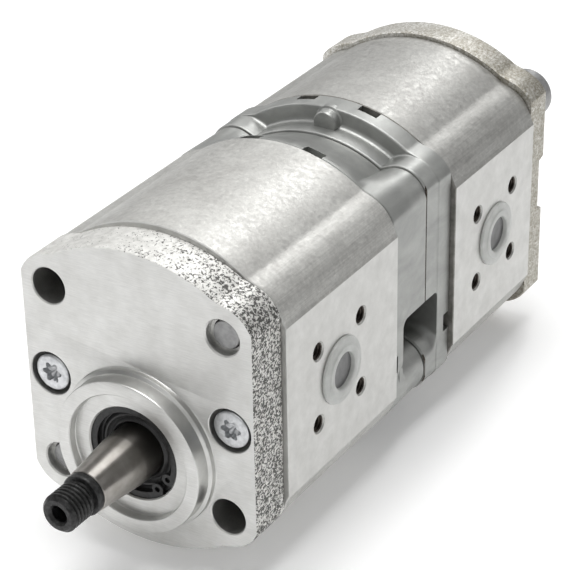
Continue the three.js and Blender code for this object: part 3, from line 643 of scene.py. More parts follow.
# ---- front cover ----
CROWN_R = 55.0
CROWN_OFFSET = 6.2
PILOT = {"outer": 25.0, "collar": 26.2, "step": 20.6, "floor": -4.3, "bore": 15.2, "back": 5.2}
PILOT_SIDES = 160
RING_GROOVE = {"radius": 16.1, "front": -3.65, "back": -2.3}
TIE_RECESS = {"radius": 5.6, "chamfer": 0.4, "deep": 3.2, "bore": 4.75}
SCREW_RECESS = {"radius": 7.1, "chamfer": 0.25, "deep": 6.8, "bore": SCREW_HOLE_R}
BOLT_MOUTH = 0.35  # chamfer of the open bolt passages


def cover_reach(turn):
    crown = min(to_circle(turn, 0, offset, CROWN_R) for offset in (-CROWN_OFFSET, CROWN_OFFSET))
    ears = to_ears(turn, COVER_EAR_R)
    return min(soft_max(crown, ears, 2.5), to_side(turn, COVER_HALF_WIDTH))


def pilot_section():
    """The pilot boss from its front rim back to its foot; its stepped bore is cut afterwards."""
    front, outer, collar = PILOT_FRONT, PILOT["outer"], PILOT["collar"]
    rim = [(outer - 0.55, front), (outer - 0.15, front + 0.15), (outer, front + 0.5)]
    step = [(outer, -2.6), (outer + 0.1, -2.2), (collar - 0.5, -1.9), (collar - 0.1, -1.65)]
    foot = [(collar, -1.3), (collar, -0.5), (collar + 0.15, -0.15), (collar + 0.5, 0.02)]
    return [(0, front), *rim, *step, *foot, (collar + 0.5, PAST), (0, PAST)]


def pilot_bore():
    """Cutter for the pilot's recess, the seal's seat, the ring's groove and the shaft's hole."""
    step, floor, bore, back = (PILOT[key] for key in ("step", "floor", "bore", "back"))
    groove, near, far = (RING_GROOVE[key] for key in ("radius", "front", "back"))
    before, end = PILOT_FRONT - PAST, COVER_BACK + PAST
    section = [(0, before), (step + 0.3, before), (step + 0.3, PILOT_FRONT)]
    section += [(step, PILOT_FRONT + 0.3), (step, floor - 0.25), (step - 0.25, floor)]
    section += [(bore + 0.4, floor), (bore, floor + 0.4), (bore, near), (groove, near)]
    section += [(groove, far), (bore, far), (bore, back), (SHAFT_HOLE_R, back)]
    return lathe([*section, (SHAFT_HOLE_R, end), (0, end)], PILOT_SIDES)


def recess(x, z, radius, chamfer, deep, bore):
    """Cutter for a counterbored hole, open at the mounting face."""
    mouth, end = radius + chamfer, COVER_BACK + PAST
    section = [(0, -PAST), (mouth, -PAST), (mouth, 0), (radius, chamfer), (radius, deep)]
    return lathe([*section, (bore, deep), (bore, end), (0, end)], SMALL_ROUND, x, z)


def front_cover():
    turns = directions(cover_reach, COVER_HALF_WIDTH)
    stations = [(0, 0.25), (0.25, 0.05), (0.6, 0), (COVER_BACK - 0.5, 0), (COVER_BACK, 0.4)]
    piece = make("front_cover_casting", loft([ring(cover_reach, turns, y, i) for y, i in stations]))
    join(piece, lathe(pilot_section(), PILOT_SIDES))
    passage = (THROUGH_HOLE_R, 0, COVER_BACK + PAST, BOLT_MOUTH)
    cut(
        piece,
        pilot_bore(),
        *[hole(x, z, *passage) for x, z in THROUGH_CORNERS],
        *[recess(x, z, **TIE_RECESS) for x, z in TIE_CORNERS],
        *[recess(side * SCREW_X, MID_Z, **SCREW_RECESS) for side in (-1, 1)],
    )

    def skin(centre, normal):
        upright = abs(normal.y) < 0.9
        if hypot(centre.x, centre.z) < PILOT["collar"] + 1 and centre.y < 0.5:
            return 1 if upright else 0
        turn, distance = polar(centre)
        return 2 if upright and distance > cover_reach(turn) - 0.5 and centre.y > 0.05 else 0

    looks = (MACHINED, TURNED, CAST)
    dress(piece, "pump_body", "machined_aluminium", ["front_cover"], *looks, choose=skin)


# ---- housings ----
PORT_SCREW = {"radius": 2.7, "mouth": 3.2, "deep": 12.0, "pitch": 1.0}
PORTS = {"pressure": (1, 7.5, 35.0), "suction": (-1, 10.0, 40.0)}  # side, radius, bolt circle
PORT_DEPTH = 26.0
GEAR_CHAMBER_R = 18.35
housing_reach = slab_outline(HOUSING_R, HOUSING_HALF_WIDTH, HOUSING_EAR_R)


def threaded_hole():
    """Cutter for a tapped hole along Y: chamfered mouth at y = 0, then ridges at the thread's pitch."""
    radius, mouth, deep, pitch = PORT_SCREW.values()
    section = [(0, 1), (mouth, 1), (mouth, 0), (radius, radius - mouth)]
    y = -0.8
    while y > -deep:
        section += [(radius - 0.25, y), (radius + 0.28, y - pitch / 2)]
        y -= pitch
    return lathe([*section, (0, y)], 28)


def port_cuts(side, radius, bolt_circle, y):
    """Port bore with its four tapped holes, in one side wall."""
    face = side * HOUSING_HALF_WIDTH
    bore = [(0, 1), (radius + 0.4, 1), (radius + 0.4, 0), (radius, -0.4), (radius, -PORT_DEPTH)]
    bore.append((0, -PORT_DEPTH))
    cuts = [sideways(lathe(bore, SMALL_ROUND), side, face, y, MID_Z)]
    half = bolt_circle / 2 / sqrt(2)
    for dy in (-half, half):
        for dz in (-half, half):
            cuts.append(sideways(threaded_hole(), side, face, y + dy, MID_Z + dz))
    return cuts


def housing(stage):
    node = f"stage_{stage}_housing"
    front, back = lengths_of(node)
    port_y = middle_of(f"stage_{stage}_pressure_plug").y
    turns = directions(housing_reach, HOUSING_HALF_WIDTH)
    piece = make(f"stage_{stage}_housing_body", slab(housing_reach, turns, front, back))
    chambers = prism(twin_outline(GEAR_CHAMBER_R), front - PAST, back + PAST)
    cut(piece, chambers, *corner_holes(front, back))
    for port in PORTS.values():
        cut(piece, *port_cuts(*port, port_y))

    def skin(centre, normal):
        if abs(centre.x) > HOUSING_HALF_WIDTH - 0.05 and abs(normal.x) > 0.99:
            return 1
        # end faces and their chamfers: painted shade on the second stage's, milled finish on the first's
        if centre.y < front + SEAM_CHAMFER or centre.y > back - SEAM_CHAMFER:
            return 2 if stage == 2 else 1
        turn, distance = polar(centre)
        # faces inside the outline get the near-black painted shade
        return 0 if distance > housing_reach(turn) - 0.6 else 3

    looks = (EXTRUDED[stage], MILLED, JOINT_SHADE, DARK_SHADE)
    dress(piece, "pump_body", "extruded_aluminium", [node], *looks, choose=skin)


def twin_outline(radius, count=48):
    """Figure of eight round both gear axes."""
    axis_gap = middle_of("stage_1_idler_gear").z
    waist = acos(min(1.0, axis_gap / 2 / radius))
    points = []
    for k in range(count + 1):
        turn = waist + (tau - 2 * waist) * k / count
        points.append((radius * sin(turn), radius * cos(turn)))
    for k in range(1, count):
        turn = pi + waist + (tau - 2 * waist) * k / count
        points.append((radius * sin(turn), axis_gap + radius * cos(turn)))
    return points


# ---- coupling covers ----
FLANGE_INNER = (86.8, 109.0)  # the faces of the two flanges that look at each other
SLOPE = (80.6, 100.2)  # where the front half's crown starts and stops falling to the waist
REAR_PROUD = 0.7  # how much larger the rear half is where it meets the front half
WAIST_R = 43.8
PANEL_LOW = 10.5
POCKET_X = 24.0
COUPLING_HALF_WIDTH = COVER_HALF_WIDTH - 0.1
WAIST_HALF_WIDTH = COUPLING_HALF_WIDTH - 0.35
BOSS = {"z": 61.3, "radius": 4.2, "front": 105.8}
NOTCH = {"x": 11.3, "width": 7.0, "deep": 3.6, "low": 2.8}
SIDE_NOTCH = {"z": -3.3, "height": 6.2, "low": 3.0}
SEAM_EDGE = {"front": 0.2, "rear": 0.7}  # rounding of each half's edge at the seam
SEAM_SHADE = {"front": 0.21, "rear": 0.5}  # how far from the seam each half is darkened with painted shade
CHAMBER_R = 14.0
CHAMBER_WALL = 0.6  # how far inside a flange's inner face the coupling chamber starts
WINDOW = {"half_width": 26, "half_height": 9}


def waist_outline(proud):
    """Outline between the flanges; proud makes the rear half a little larger than the front one."""

    def reach(turn):
        crown = soft_max(WAIST_R + proud, to_ears(turn, HOUSING_EAR_R + proud), 3.0)
        panel = to_side(turn, WAIST_HALF_WIDTH)
        height = panel * cos(turn)
        if PANEL_LOW - MID_Z - 12 < height < CORNER_Z:
            crown = max(crown, panel)
        return min(crown, panel)

    return reach


def stepped_fall(flange, waist, turns, inner, towards):
    """Loops down a flange's rounded edge and its upright face to a filleted foot on the waist."""
    edge, fillet = 0.8, 1.6

    def drop(t):
        return max(0.0, flange(t) - waist(t))

    def rim(t, share):
        return flange(t) - min(edge, 0.4 * drop(t)) * share

    def foot(t, share):
        return waist(t) + min(fillet, 0.5 * drop(t)) * share

    loops = []
    for falling, rising in arc_steps(5):
        y = inner - towards * edge * falling
        loops.append(ring(lambda t, share=rising: rim(t, share), turns, y))
    for falling, rising in arc_steps(5):
        y = inner + towards * fillet * rising
        loops.append(ring(lambda t, share=falling: foot(t, share), turns, y))
    return loops


def sloping_fall(flange, waist, turns, first, last, steps=16):
    """Loops that ease from the flange to the waist in one long soft slope."""
    loops = []
    for k in range(steps + 1):
        share = k / steps
        eased = 0.6 * share + 0.4 * share * share * (3 - 2 * share)
        y = first + (last - first) * share
        loops.append(ring(lambda t, e=eased: flange(t) + (waist(t) - flange(t)) * e, turns, y))
    return loops


def seam_edge(waist, turns, seam, towards, radius):
    """Loops round the rounded edge where the two halves meet."""
    stations = [(seam - towards * radius * falling, radius * rising) for falling, rising in arc_steps(4)]
    return [ring(waist, turns, y, inset) for y, inset in stations]


def low_column(flange, inner, seam, proud, x):
    """Lower bolt column with its flare where it meets the flange, kept inside the flange outline."""
    towards = 1 if seam > inner else -1
    radius = HOUSING_EAR_R + proud
    flare, end = 3.2, inner - towards * 2
    section = [(0, seam), (radius - 0.45, seam), (radius, seam - towards * 0.45)]
    for falling, rising in arc_steps(7):
        section.append((radius + flare * rising, inner + towards * flare * falling))
    section += [(radius + flare, end), (0, end)]
    verts, faces = lathe(section, SMALL_ROUND * 2, x, MID_Z - CORNER_Z)
    held = []
    for point in map(Vector, verts):
        turn, distance = polar(point)
        share = min(1.0, (flange(turn) - 0.25) / distance)
        held.append((point.x * share, point.y, MID_Z + (point.z - MID_Z) * share))
    return held, faces


def pocket_cut(side):
    """Side opening between the flanges, rounded at its upper front corner."""
    front, back = FLANGE_INNER
    corner, bottom = 3.0, -60.0
    outline = [(front, bottom), (front, PANEL_LOW - corner)]
    for falling, rising in arc_steps(6)[1:]:
        outline.append((front + corner * rising, PANEL_LOW - corner * falling))
    outline += [(back - 1.2, PANEL_LOW), (back - 0.35, PANEL_LOW - 0.35), (back, PANEL_LOW - 1.2)]
    outline.append((back, bottom))
    return loft([[(side * x, y, z) for y, z in outline] for x in (POCKET_X, 60.0)])


def flange_notches(from_y, to_y):
    cuts = []
    for side in (-1, 1):
        for up in (-1, 1):
            half = NOTCH["width"] / 2
            low = (-half, from_y, up * HOUSING_R - NOTCH["low"])
            high = (half, to_y, up * HOUSING_R + NOTCH["low"])
            tilt = asin(side * up * NOTCH["x"] / HOUSING_R)
            place = Matrix.Translation((0, 0, MID_Z)) @ Matrix.Rotation(tilt, 4, "Y")
            cuts.append(moved(block(low, high), place))
        xs = sorted((side * (COVER_HALF_WIDTH - SIDE_NOTCH["low"]), side * 45))
        middle, half = SIDE_NOTCH["z"], SIDE_NOTCH["height"] / 2
        cuts.append(block((xs[0], from_y, middle - half), (xs[1], to_y, middle + half)))
    return cuts


def coupling_cover(end):
    in_front = end == "front"
    outer, seam = (COUPLING_FRONT, SEAM_FRONT) if in_front else (COUPLING_BACK, SEAM_REAR)
    inner = FLANGE_INNER[0 if in_front else 1]
    towards = 1 if in_front else -1
    proud = 0.0 if in_front else REAR_PROUD
    flange = slab_outline(HOUSING_R, COUPLING_HALF_WIDTH, FLANGE_EAR_R + proud)
    waist = waist_outline(proud)
    turns = directions(flange, COUPLING_HALF_WIDTH)
    loops = [ring(flange, turns, outer, SEAM_CHAMFER)]
    loops.append(ring(flange, turns, outer + towards * SEAM_CHAMFER))
    if in_front:
        loops += sloping_fall(flange, waist, turns, *SLOPE)
    else:
        loops += stepped_fall(flange, waist, turns, inner, towards)
    loops += seam_edge(waist, turns, seam, towards, SEAM_EDGE[end])
    piece = make(f"coupling_casting_{end}", loft(loops))
    cut(piece, pocket_cut(-1), pocket_cut(1))
    join(piece, *[low_column(flange, inner, seam, proud, side * CORNER_X) for side in (-1, 1)])
    if not in_front:
        join(piece, cast_boss(inner))
    near, far = sorted((inner + towards * CHAMBER_WALL, seam + towards))
    half_width, half_height = WINDOW.values()
    cut(piece, block((-half_width, near, -half_height), (half_width, far, half_height)))
    cut(piece, lathe([(0, near), (CHAMBER_R, near), (CHAMBER_R, far), (0, far)]))
    low, high = sorted((outer, seam))
    notches = flange_notches(*sorted((outer - towards, outer + towards * NOTCH["deep"])))
    shaft_hole = hole(0, 0, SHAFT_HOLE_R, low - PAST, high + PAST)
    cut(piece, *notches, *corner_holes(low, high), shaft_hole)

    # faces beside the seam get painted shade: all round the front half, at the sides of the rear half
    def skin(centre, normal):
        near_seam = abs(centre.y - seam) < SEAM_SHADE[end]
        on_side = abs(centre.x) > WAIST_HALF_WIDTH - 0.8
        return 1 if near_seam and (in_front or on_side) and abs(centre.x) > 3 else 0

    node = f"coupling_cover_{end}"
    dress(piece, "pump_body", "die_cast_aluminium", [node], DIE_CAST, DARK_SHADE, choose=skin)


def cast_boss(wall):
    """Round pad standing off the rear flange's wall, with rounded edge and foot."""
    r, front = BOSS["radius"], BOSS["front"]
    section = [(0, front), (r - 0.9, front), (r - 0.4, front + 0.15), (r - 0.1, front + 0.5)]
    section += [(r, front + 0.9), (r, wall - 0.8), (r + 0.2, wall - 0.3), (r + 0.8, wall + 0.02)]
    section += [(r + 0.8, wall + 2), (0, wall + 2)]
    return lathe(section, 64, 0, BOSS["z"])


# ---- rear cover ----
REAR_R = 51.9
REAR_POCKET = {"low": 9.2, "high": 26.6, "floor": 180.0, "inner": 20.0}
REAR_HALF_WIDTH = box_of("rear_cover")[1].x
REAR_CHAMFER, REAR_ROUND = 0.4, 1.6
rear_reach = slab_outline(REAR_R, REAR_HALF_WIDTH, REAR_EAR_R)


def rear_pocket(side):
    """Cutter for the pocket in which a rear screw's head sits, flared towards the back."""
    inner, low, high = (REAR_POCKET[key] for key in ("inner", "low", "high"))
    beyond, flare = 50, 1.5
    outline = [(side * inner, low), (side * beyond, low - 0.5)]
    outline += [(side * beyond, high + 1.2), (side * inner, high - 0.8)]
    mouth = [(x, REAR_BACK + PAST, z + (flare if z > MID_Z else -flare)) for x, z in outline]
    return loft([[(x, REAR_POCKET["floor"], z) for x, z in outline], mouth])


def rear_cover():
    turns = directions(rear_reach, REAR_HALF_WIDTH)
    stations = [(REAR_FRONT, REAR_CHAMFER), (REAR_FRONT + REAR_CHAMFER, 0)]
    for falling, rising in arc_steps(4):
        stations.append((REAR_BACK - REAR_ROUND * falling, REAR_ROUND * rising))
    piece = make("rear_cover_casting", loft([ring(rear_reach, turns, y, i) for y, i in stations]))
    cut(piece, rear_pocket(-1), rear_pocket(1))
    ends = (REAR_FRONT - PAST, REAR_BACK + PAST)
    screws = [hole(side * SCREW_X, MID_Z, SCREW_HOLE_R, *ends) for side in (-1, 1)]
    cut(piece, *corner_holes(REAR_FRONT, REAR_BACK), *screws)
    dress(piece, "pump_body", "sand_cast_aluminium", ["rear_cover"], REAR_CAST)


# ---- drive shaft ----
THREAD = {"major": 5.95, "pitch": 1.5, "depth": 0.85, "tip_chamfer": 1.1, "back": -29.9}
CENTRE_HOLE_R = 2.65
THREAD_COLLAR_R = 6.55
OXIDE_BACK = -27.15  # the thread and its collar are blackened up to here
TAPER_R = 8.5
JOURNAL_END = 6.2  # from the end of the journal to the end of the tang
TANG = {"half_width": 3.9, "half_height": 7.3, "root": 7.0, "end": 0.4}
GEAR_GAP = 0.12  # between a gear's side and its bearing block
KEY = {"half_width": 1.5, "radius": 6.5, "height": 5.0, "top": 9.0, "y": -18.6, "fit": 0.12}
KEY_TURN = radians(135)  # round from straight up: the key lies at the lower left
NOSE_SIDES = 96


def thread_radius(y, turn, front):
    """Radius of the helical thread at a station and direction."""
    major, pitch, depth, tip_chamfer, back = THREAD.values()
    phase = ((y - front) / pitch - turn / tau) % 1.0
    ridge = min(1.0, max(0.0, 1.6 - 3.2 * abs(phase - 0.5)))
    radius = major - depth * (1 - ridge)
    root = major - depth
    tip = major - tip_chamfer + (y - front)
    end = root + max(0.0, (back - 0.9 - y)) * 1.2
    return max(min(radius, tip, end), min(root, tip))


def thread_shell(front):
    """Rows of points that follow the helix, held between the thread's two ends."""
    rows_per_pitch = 10
    length = THREAD["back"] - front
    rows = rows_per_pitch * (ceil(length / THREAD["pitch"]) + 1)
    verts, faces = [], []
    index = {}
    for j in range(-rows_per_pitch, rows + 1):
        for i in range(NOSE_SIDES):
            turn = tau * i / NOSE_SIDES
            y = front + THREAD["pitch"] * (j / rows_per_pitch + i / NOSE_SIDES)
            y = min(max(y, front), THREAD["back"])
            r = thread_radius(y, turn, front)
            index[i, j] = len(verts)
            verts.append((r * sin(turn), y, r * cos(turn)))
    for j in range(-rows_per_pitch, rows):
        for i in range(NOSE_SIDES):
            if i + 1 < NOSE_SIDES:
                right = [index[i + 1, j], index[i + 1, j + 1]]
            else:
                right = [index[0, min(rows, j + rows_per_pitch + s)] for s in (0, 1)]
            corners = [index[i, j], index[i, j + 1], right[1], right[0]]
            if len(set(corners)) == 4:
                faces.append(tuple(corners))
    first = [index[i, -rows_per_pitch] for i in range(NOSE_SIDES)]
    last = [index[i, rows] for i in range(NOSE_SIDES)]
    return verts, faces, first, last


def extend(verts, faces, previous, section):
    """Carries a turned shell on from a ring of vertices through further (radius, y) stations."""
    for radius, y in section:
        fresh = add_ring(verts, radius, y, NOSE_SIDES)
        faces.extend(bridge(previous, fresh))
        previous = fresh


def nose_shell():
    """Shaft from its centre-drilled tip to the end of its rear journal, thread included."""
    front, back = lengths_of("drive_shaft_gear")
    verts, faces, first, last = thread_shell(front)
    r = CENTRE_HOLE_R
    drilled = [(r + 0.75, front), (r + 0.55, front + 0.15), (r, front + 1.0), (r, front + 1.1)]
    extend(verts, faces, first, [*drilled, (r, front + 6.0), (0, front + 7.5)])
    r = THREAD_COLLAR_R
    collar = [(6.2, -29.75), (6.5, -29.45), (r, -29.3), (r, -27.5), (6.45, -27.2), (6.3, -27.1)]
    taper = [(r, -27.1), (6.72, -26.95), (6.74, -26.75), (8.46, -9.6), (8.48, -9.4)]
    end = back - JOURNAL_END
    journal = [(TAPER_R, -9.2), (TAPER_R, -8.8), (TAPER_R, end), (0, end)]
    extend(verts, faces, last, collar + taper + journal)
    return verts, faces


def drive_shaft():
    piece = make("drive_shaft_turned", nose_shell())
    back = lengths_of("drive_shaft_gear")[1]
    gear_front = lengths_of("stage_1_front_bearing_block")[1] + GEAR_GAP
    gear_back = lengths_of("stage_1_rear_bearing_block")[0] - GEAR_GAP
    x, z, root, end = TANG.values()
    tang = prism([(-x, -z), (x, -z), (x, z), (-x, z)], back - root, back - end)
    join(piece, prism(gear_outline(pi / 2), gear_front, gear_back), tang)
    cut(piece, key_shell(KEY["fit"]))

    def skin(centre, normal):
        return 1 if centre.y < OXIDE_BACK else 0

    looks = (STEEL, BLACK_OXIDE)
    dress(piece, "drive_line", "ground_steel", ["drive_shaft_gear"], *looks, choose=skin)


GEAR = {"teeth": 12, "module": 2.6, "tip": 18.2, "root": 12.4, "pressure": radians(25)}
GEAR |= {"thinning": 0.012, "root_flare": 0.015}  # radians


def gear_outline(turn):
    """Involute gear outline as (x, z) points, with one tooth centred on the angle turn."""
    teeth, module, tip, root, pressure, thinning, flare = GEAR.values()
    base = teeth * module / 2 * cos(pressure)
    half = pi / (2 * teeth) + tan(pressure) - pressure - thinning
    flank = []
    steps = 6
    for i in range(steps + 1):
        r = base + (tip - base) * i / steps
        roll = acos(base / r)
        flank.append((r, half - (tan(roll) - roll)))
    flank.insert(0, (root, flank[0][1] + flare))
    points = []
    for tooth in range(teeth):
        centre = turn + tooth * tau / teeth
        for r, a in flank:
            points.append((r * cos(centre - a), r * sin(centre - a)))
        for r, a in reversed(flank):
            points.append((r * cos(centre + a), r * sin(centre + a)))
    return points


def key_shell(grow, count=24):
    """Half-moon key on the taper, or its slot when grown."""
    half_width, radius, height, top, middle, _ = KEY.values()
    half, r = half_width + grow, radius + grow
    centre = top + radius - height
    low = asin(min(1.0, (centre - top) / r))
    points = []
    for k in range(count + 1):
        a = pi + low + (pi - 2 * low) * k / count
        points.append((middle + r * cos(a), centre + r * sin(a)))
    loops = [[(x, y, z) for y, z in points] for x in (-half, half)]
    return moved(loft(loops), Matrix.Rotation(-KEY_TURN, 4, "Y"))


def shaft_key():
    piece = make("shaft_key_half_moon", key_shell(0.0))
    dress(piece, "drive_line", "ground_steel", ["shaft_key"], STEEL)


# ---- shaft seal and retaining ring ----


def shaft_seal():
    """Moulded seal: outer wall, ribbed face, dust lip and garter bead round the shaft."""
    low, high = lengths_of("shaft_seal")
    ribs = [(15.08, 0.4), (14.75, 0.05), (14.1, 0), (13.5, 0.25), (13.2, 0.8), (12.7, 0.95)]
    ribs += [(12.2, 0.6), (11.7, 0.35), (11.2, 0.45), (10.8, 0.95), (10.3, 1.2), (9.7, 0.7)]
    lip = [(9.3, 0.55), (9.0, 0.8), (8.6, 1.6), (8.75, 2.1), (9.4, 2.6), (13.4, 3.2)]
    section = [(r, low + y) for r, y in ribs + lip] + [(13.6, high), (15.08, high)]
    piece = make("shaft_seal_moulded", lathe(section, ROUND))
    dress(piece, "pump_body", "black_rubber", ["shaft_seal"], RUBBER)


RETAINING = {"inner": 13.1, "outer": 15.95, "lug": 12.9, "lug_r": 2.0, "hole": 0.9, "gap": -40.0}
RING_SOFT = 0.12  # rounding of the ring's edges
RING_HALF_GAP, RING_LUG_TURN = 0.16, 0.07  # radians


def ring_eye(x, z, front, back):
    r, soft = RETAINING["lug_r"], RING_SOFT
    edge = [(r - soft, front), (r, front + soft), (r, back - soft), (r - soft, back)]
    return lathe([(0, front), *edge, (0, back)], 32, x, z)


def retaining_ring(count=110):
    """Internal spring ring, open between two eyes at the lower right."""
    front, back = lengths_of("seal_retaining_ring")
    middle = radians(90 - RETAINING["gap"])
    inner, outer, soft = RETAINING["inner"], RETAINING["outer"], RING_SOFT
    section = [(inner + soft, front), (outer - soft, front), (outer, front + soft)]
    section += [(outer, back - soft), (outer - soft, back), (inner + soft, back)]
    section += [(inner, back - soft), (inner, front + soft)]
    loops = []
    for k in range(count + 1):
        turn = middle + RING_HALF_GAP + (tau - 2 * RING_HALF_GAP) * k / count
        loops.append([(r * sin(turn), y, r * cos(turn)) for r, y in section])
    piece = make("retaining_ring_spring", loft(loops))
    for side in (-1, 1):
        turn = middle + side * (RING_HALF_GAP + RING_LUG_TURN)
        x, z = RETAINING["lug"] * sin(turn), RETAINING["lug"] * cos(turn)
        join(piece, ring_eye(x, z, front, back))
        cut(piece, hole(x, z, RETAINING["hole"], front - PAST, back + PAST, sides=20))
    dress(piece, "pump_body", "black_steel", ["seal_retaining_ring"], SPRING)


# ---- fasteners ----


def star_outline(radius, x, z, shrink=0.0):
    """Six-lobed driver recess."""
    points = []
    count = 72
    for i in range(count):
        a = tau * i / count
        wave = cos(6 * a)
        r = (radius - shrink) * (0.865 + 0.135 * wave * (1 + 0.25 * (1 - wave)))
        points.append((x + r * cos(a), z + r * sin(a)))
    return points


def star_cut(x, z, face, inward, radius=3.35, deep=2.0):
    """Tapered star socket sunk into a screw's face."""
    stations = [(-0.5, -0.12), (0.0, -0.12), (0.15, 0.0), (deep, 0.22), (deep + 0.9, 2.2)]
    loops = []
    for depth, shrink in stations:
        outline = star_outline(radius, x, z, shrink)
        loops.append([(px, face + inward * depth, pz) for px, pz in outline])
    return loft(loops)


def side_screw(name, body_node, inward, x):
    low, high = lengths_of(body_node)
    face, tip = (low, high) if inward > 0 else (high, low)
    length = abs(tip - face)
    head = [(0, 0), (4.9, 0), (5.5, 0.12), (5.85, 0.4), (6.0, 0.8), (6.0, 5.95)]
    shank = [(4.0, 5.95), (4.0, length - 1), (3.2, length), (0, length)]
    section = [(r, face + inward * y) for r, y in head + shank]
    piece = make(name, lathe(section, SMALL_ROUND * 2, x, MID_Z))
    cut(piece, star_cut(x, MID_Z, face, inward))
    dress(piece, "pump_body", "zinc_steel", [body_node], ZINC)


def tie_bolt(which, x, z):
    node = f"tie_bolt_{which}"
    front, back = lengths_of(node)
    seat = REAR_BACK + 0.1
    shank = [(0, front), (3.7, front), (4.2, front + 0.15), (4.4, front + 0.5)]
    shank += [(4.4, COVER_BACK + 0.1), (4.9, COVER_BACK + 0.4), (4.9, seat)]
    head = [(8.5, seat), (8.7, seat + 0.2), (8.7, back - 1.5), (8.6, back - 0.9)]
    head += [(8.25, back - 0.4), (7.7, back - 0.1), (7.1, back), (0, back)]
    piece = make(f"tie_bolt_{which}_forged", lathe(shank + head, 64, x, z))
    cut(piece, star_cut(x, z, back, -1))
    dress(piece, "pump_body", "bolt_steel", [node], BOLT)


# ---- port plugs ----


def port_plug(stage, kind):
    """Moulded cap: rounded flange, stepped recess and a hollow stem in the port."""
    side, bore, _ = PORTS[kind]
    node = f"stage_{stage}_{kind}_plug"
    low, high = box_of(node)
    rim, hollow, proud = (high.z - low.z) / 2, bore - 1.75, 1.9
    stem = 8.0
    floor = [(0, 0.05), (hollow - 0.3, 0.05), (hollow - 0.1, 0.12), (hollow, 0.35)]
    wall = [(0.15, 1.45), (0.45, 1.75), (0.9, proud - 0.03), (1.5, proud), (2.3, proud - 0.1)]
    wall += [(2.7, proud - 0.42), (3.0, proud - 0.55)]
    flange = [(rim - 0.7, proud - 0.65), (rim - 0.2, proud - 0.85), (rim, proud - 1.25)]
    flange += [(rim, 0.35), (rim - 0.15, 0.06), (bore - 0.2, 0.05), (bore - 0.5, -stem)]
    inside = [(hollow - 0.1, -stem), (hollow - 0.2, -1.3), (0, -1.3)]
    section = floor + [(hollow + r, y) for r, y in wall] + flange + inside
    place = middle_of(node)
    shell = sideways(lathe(section, ROUND), side, side * HOUSING_HALF_WIDTH, place.y, MID_Z)
    piece = make(f"stage_{stage}_{kind}_cap", shell)

    # the floor inside the cap's recess gets the darker painted shade
    def skin(centre, normal):
        out = side * centre.x - HOUSING_HALF_WIDTH
        radius = hypot(centre.y - place.y, centre.z - MID_Z)
        return 1 if 0 < out < 0.3 and radius < hollow - 0.05 else 0

    dress(piece, "pump_body", "plug_plastic", [node], PLASTIC, PLUG_FLOOR_SHADE, choose=skin)


# ---- inner nodes kept from the CAD model ----


def dress_inner_nodes():
    """Every CAD node still shown gets a worked material by what it is."""
    by_word = [("bush", BRONZE), ("bearing_block", ALLOY), ("seal", RUBBER)]
    for name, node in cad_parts.items():
        if node.hide_render:
            continue
        look = next((material for word, material in by_word if word in name), STEEL)
        for spot in node.material_slots:
            spot.material = look


# ---- camera, floor and light ----
CAMERA_AT = (326.9, -438.7, 355.1)
AZIMUTH, ELEVATION, ROLL = 32.17, 28.96, -1.09
LENS = 139.9


def add_camera():
    az, el, roll = (radians(a) for a in (AZIMUTH, ELEVATION, ROLL))
    back = Vector((sin(az) * cos(el), -cos(az) * cos(el), sin(el)))
    level = Vector((cos(az), sin(az), 0))
    upright = back.cross(level)
    right = level * cos(roll) + upright * sin(roll)
    up = back.cross(right)
    data = bpy.data.cameras.new("camera")
    data.lens = LENS
    data.sensor_width = 36
    camera = bpy.data.objects.new("camera", data)
    turn = Matrix((right, up, back)).transposed()
    camera.matrix_world = Matrix.Translation(Vector(CAMERA_AT) / MM) @ turn.to_4x4()
    bpy.context.scene.collection.objects.link(camera)
    bpy.context.scene.camera = camera


def add_floor():
    glow = {"Emission_Color": (*WHITE, 1), "Emission_Strength": FLOOR_GLOW}
    look = Look("pale_floor", (0.9, 0.9, 0.9), 0.8, 0.0, **glow)
    reach, thickness = 6000, 20
    level = cad_box[0].z * MM - 0.05
    floor = make("floor", block((-reach, -reach, level - thickness), (reach, reach, level)))
    floor.data.materials.append(look.material)


def add_area(name, at, aim, size, watts):
    data = bpy.data.lights.new(name, "AREA")
    data.shape = "RECTANGLE"
    data.size, data.size_y = size
    data.energy = watts
    light = bpy.data.objects.new(name, data)
    light.location = at
    light.rotation_mode = "QUATERNION"
    light.rotation_quaternion = (Vector(aim) - Vector(at)).to_track_quat("-Z", "Y")
    bpy.context.scene.collection.objects.link(light)


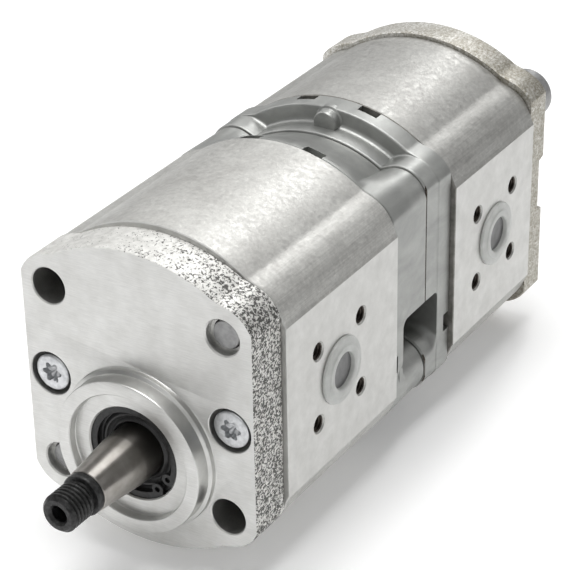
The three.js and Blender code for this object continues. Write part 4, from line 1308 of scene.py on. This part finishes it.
# large soft boxes round the pump: azimuth from the shaft's end, elevation and watts
SOFT_BOXES = {
    "overhead": (0, 88, 9.6),
    "front": (0, 25, 1.3),
    "left": (-90, 30, 2.6),
    "back_left": (-135, 35, 1.6),
    "back_right": (135, 35, 1.2),
    "front_right": (50, 25, 0.3),
}
BOX_DISTANCE, BOX_SIZE = 1.2, 0.7  # metres
FLOOR_GLOW = 0.18
WORLD_GLOW = 0.2
# two smaller panels: place, aim, size in metres and watts
PANELS = {
    "strip_back": ((-0.06, 0.62, 0.60), (0, -0.02, 0), (0.10, 0.5), 1.3),
    "near_front": ((-0.12, -0.05, 0.45), (0, 0.03, 0.03), (0.35, 0.35), 0.2),
}


def add_light():
    world = bpy.data.worlds.new("studio")
    world.use_nodes = True
    world.node_tree.nodes["Background"].inputs["Color"].default_value = (1, 1, 1, 1)
    world.node_tree.nodes["Background"].inputs["Strength"].default_value = WORLD_GLOW
    bpy.context.scene.world = world
    centre = Vector((0.0, 0.08, 0.0))
    for name, (azimuth, elevation, watts) in SOFT_BOXES.items():
        az, el = radians(azimuth), radians(elevation)
        away = Vector((sin(az) * cos(el), -cos(az) * cos(el), sin(el)))
        add_area(name, centre + away * BOX_DISTANCE, centre, (BOX_SIZE, BOX_SIZE), watts)
    for name, panel in PANELS.items():
        add_area(name, *panel)
    bpy.context.scene.view_settings.view_transform = "Standard"


# ---- the pump ----
add_camera()
front_cover()
for stage in (1, 2):
    housing(stage)
for end in ("front", "rear"):
    coupling_cover(end)
rear_cover()
drive_shaft()
shaft_key()
shaft_seal()
retaining_ring()
for side, word in ((-1, "left"), (1, "right")):
    side_screw(f"front_torx_{word}", f"front_screw_{word}", 1, side * SCREW_X)
    side_screw(f"rear_torx_{word}", f"rear_screw_{word}", -1, side * SCREW_X)
tie_bolt("upper", CORNER_X, MID_Z + CORNER_Z)
tie_bolt("lower", -CORNER_X, MID_Z - CORNER_Z)
for stage in (1, 2):
    for kind in PORTS:
        port_plug(stage, kind)
dress_inner_nodes()
add_floor()
add_light()
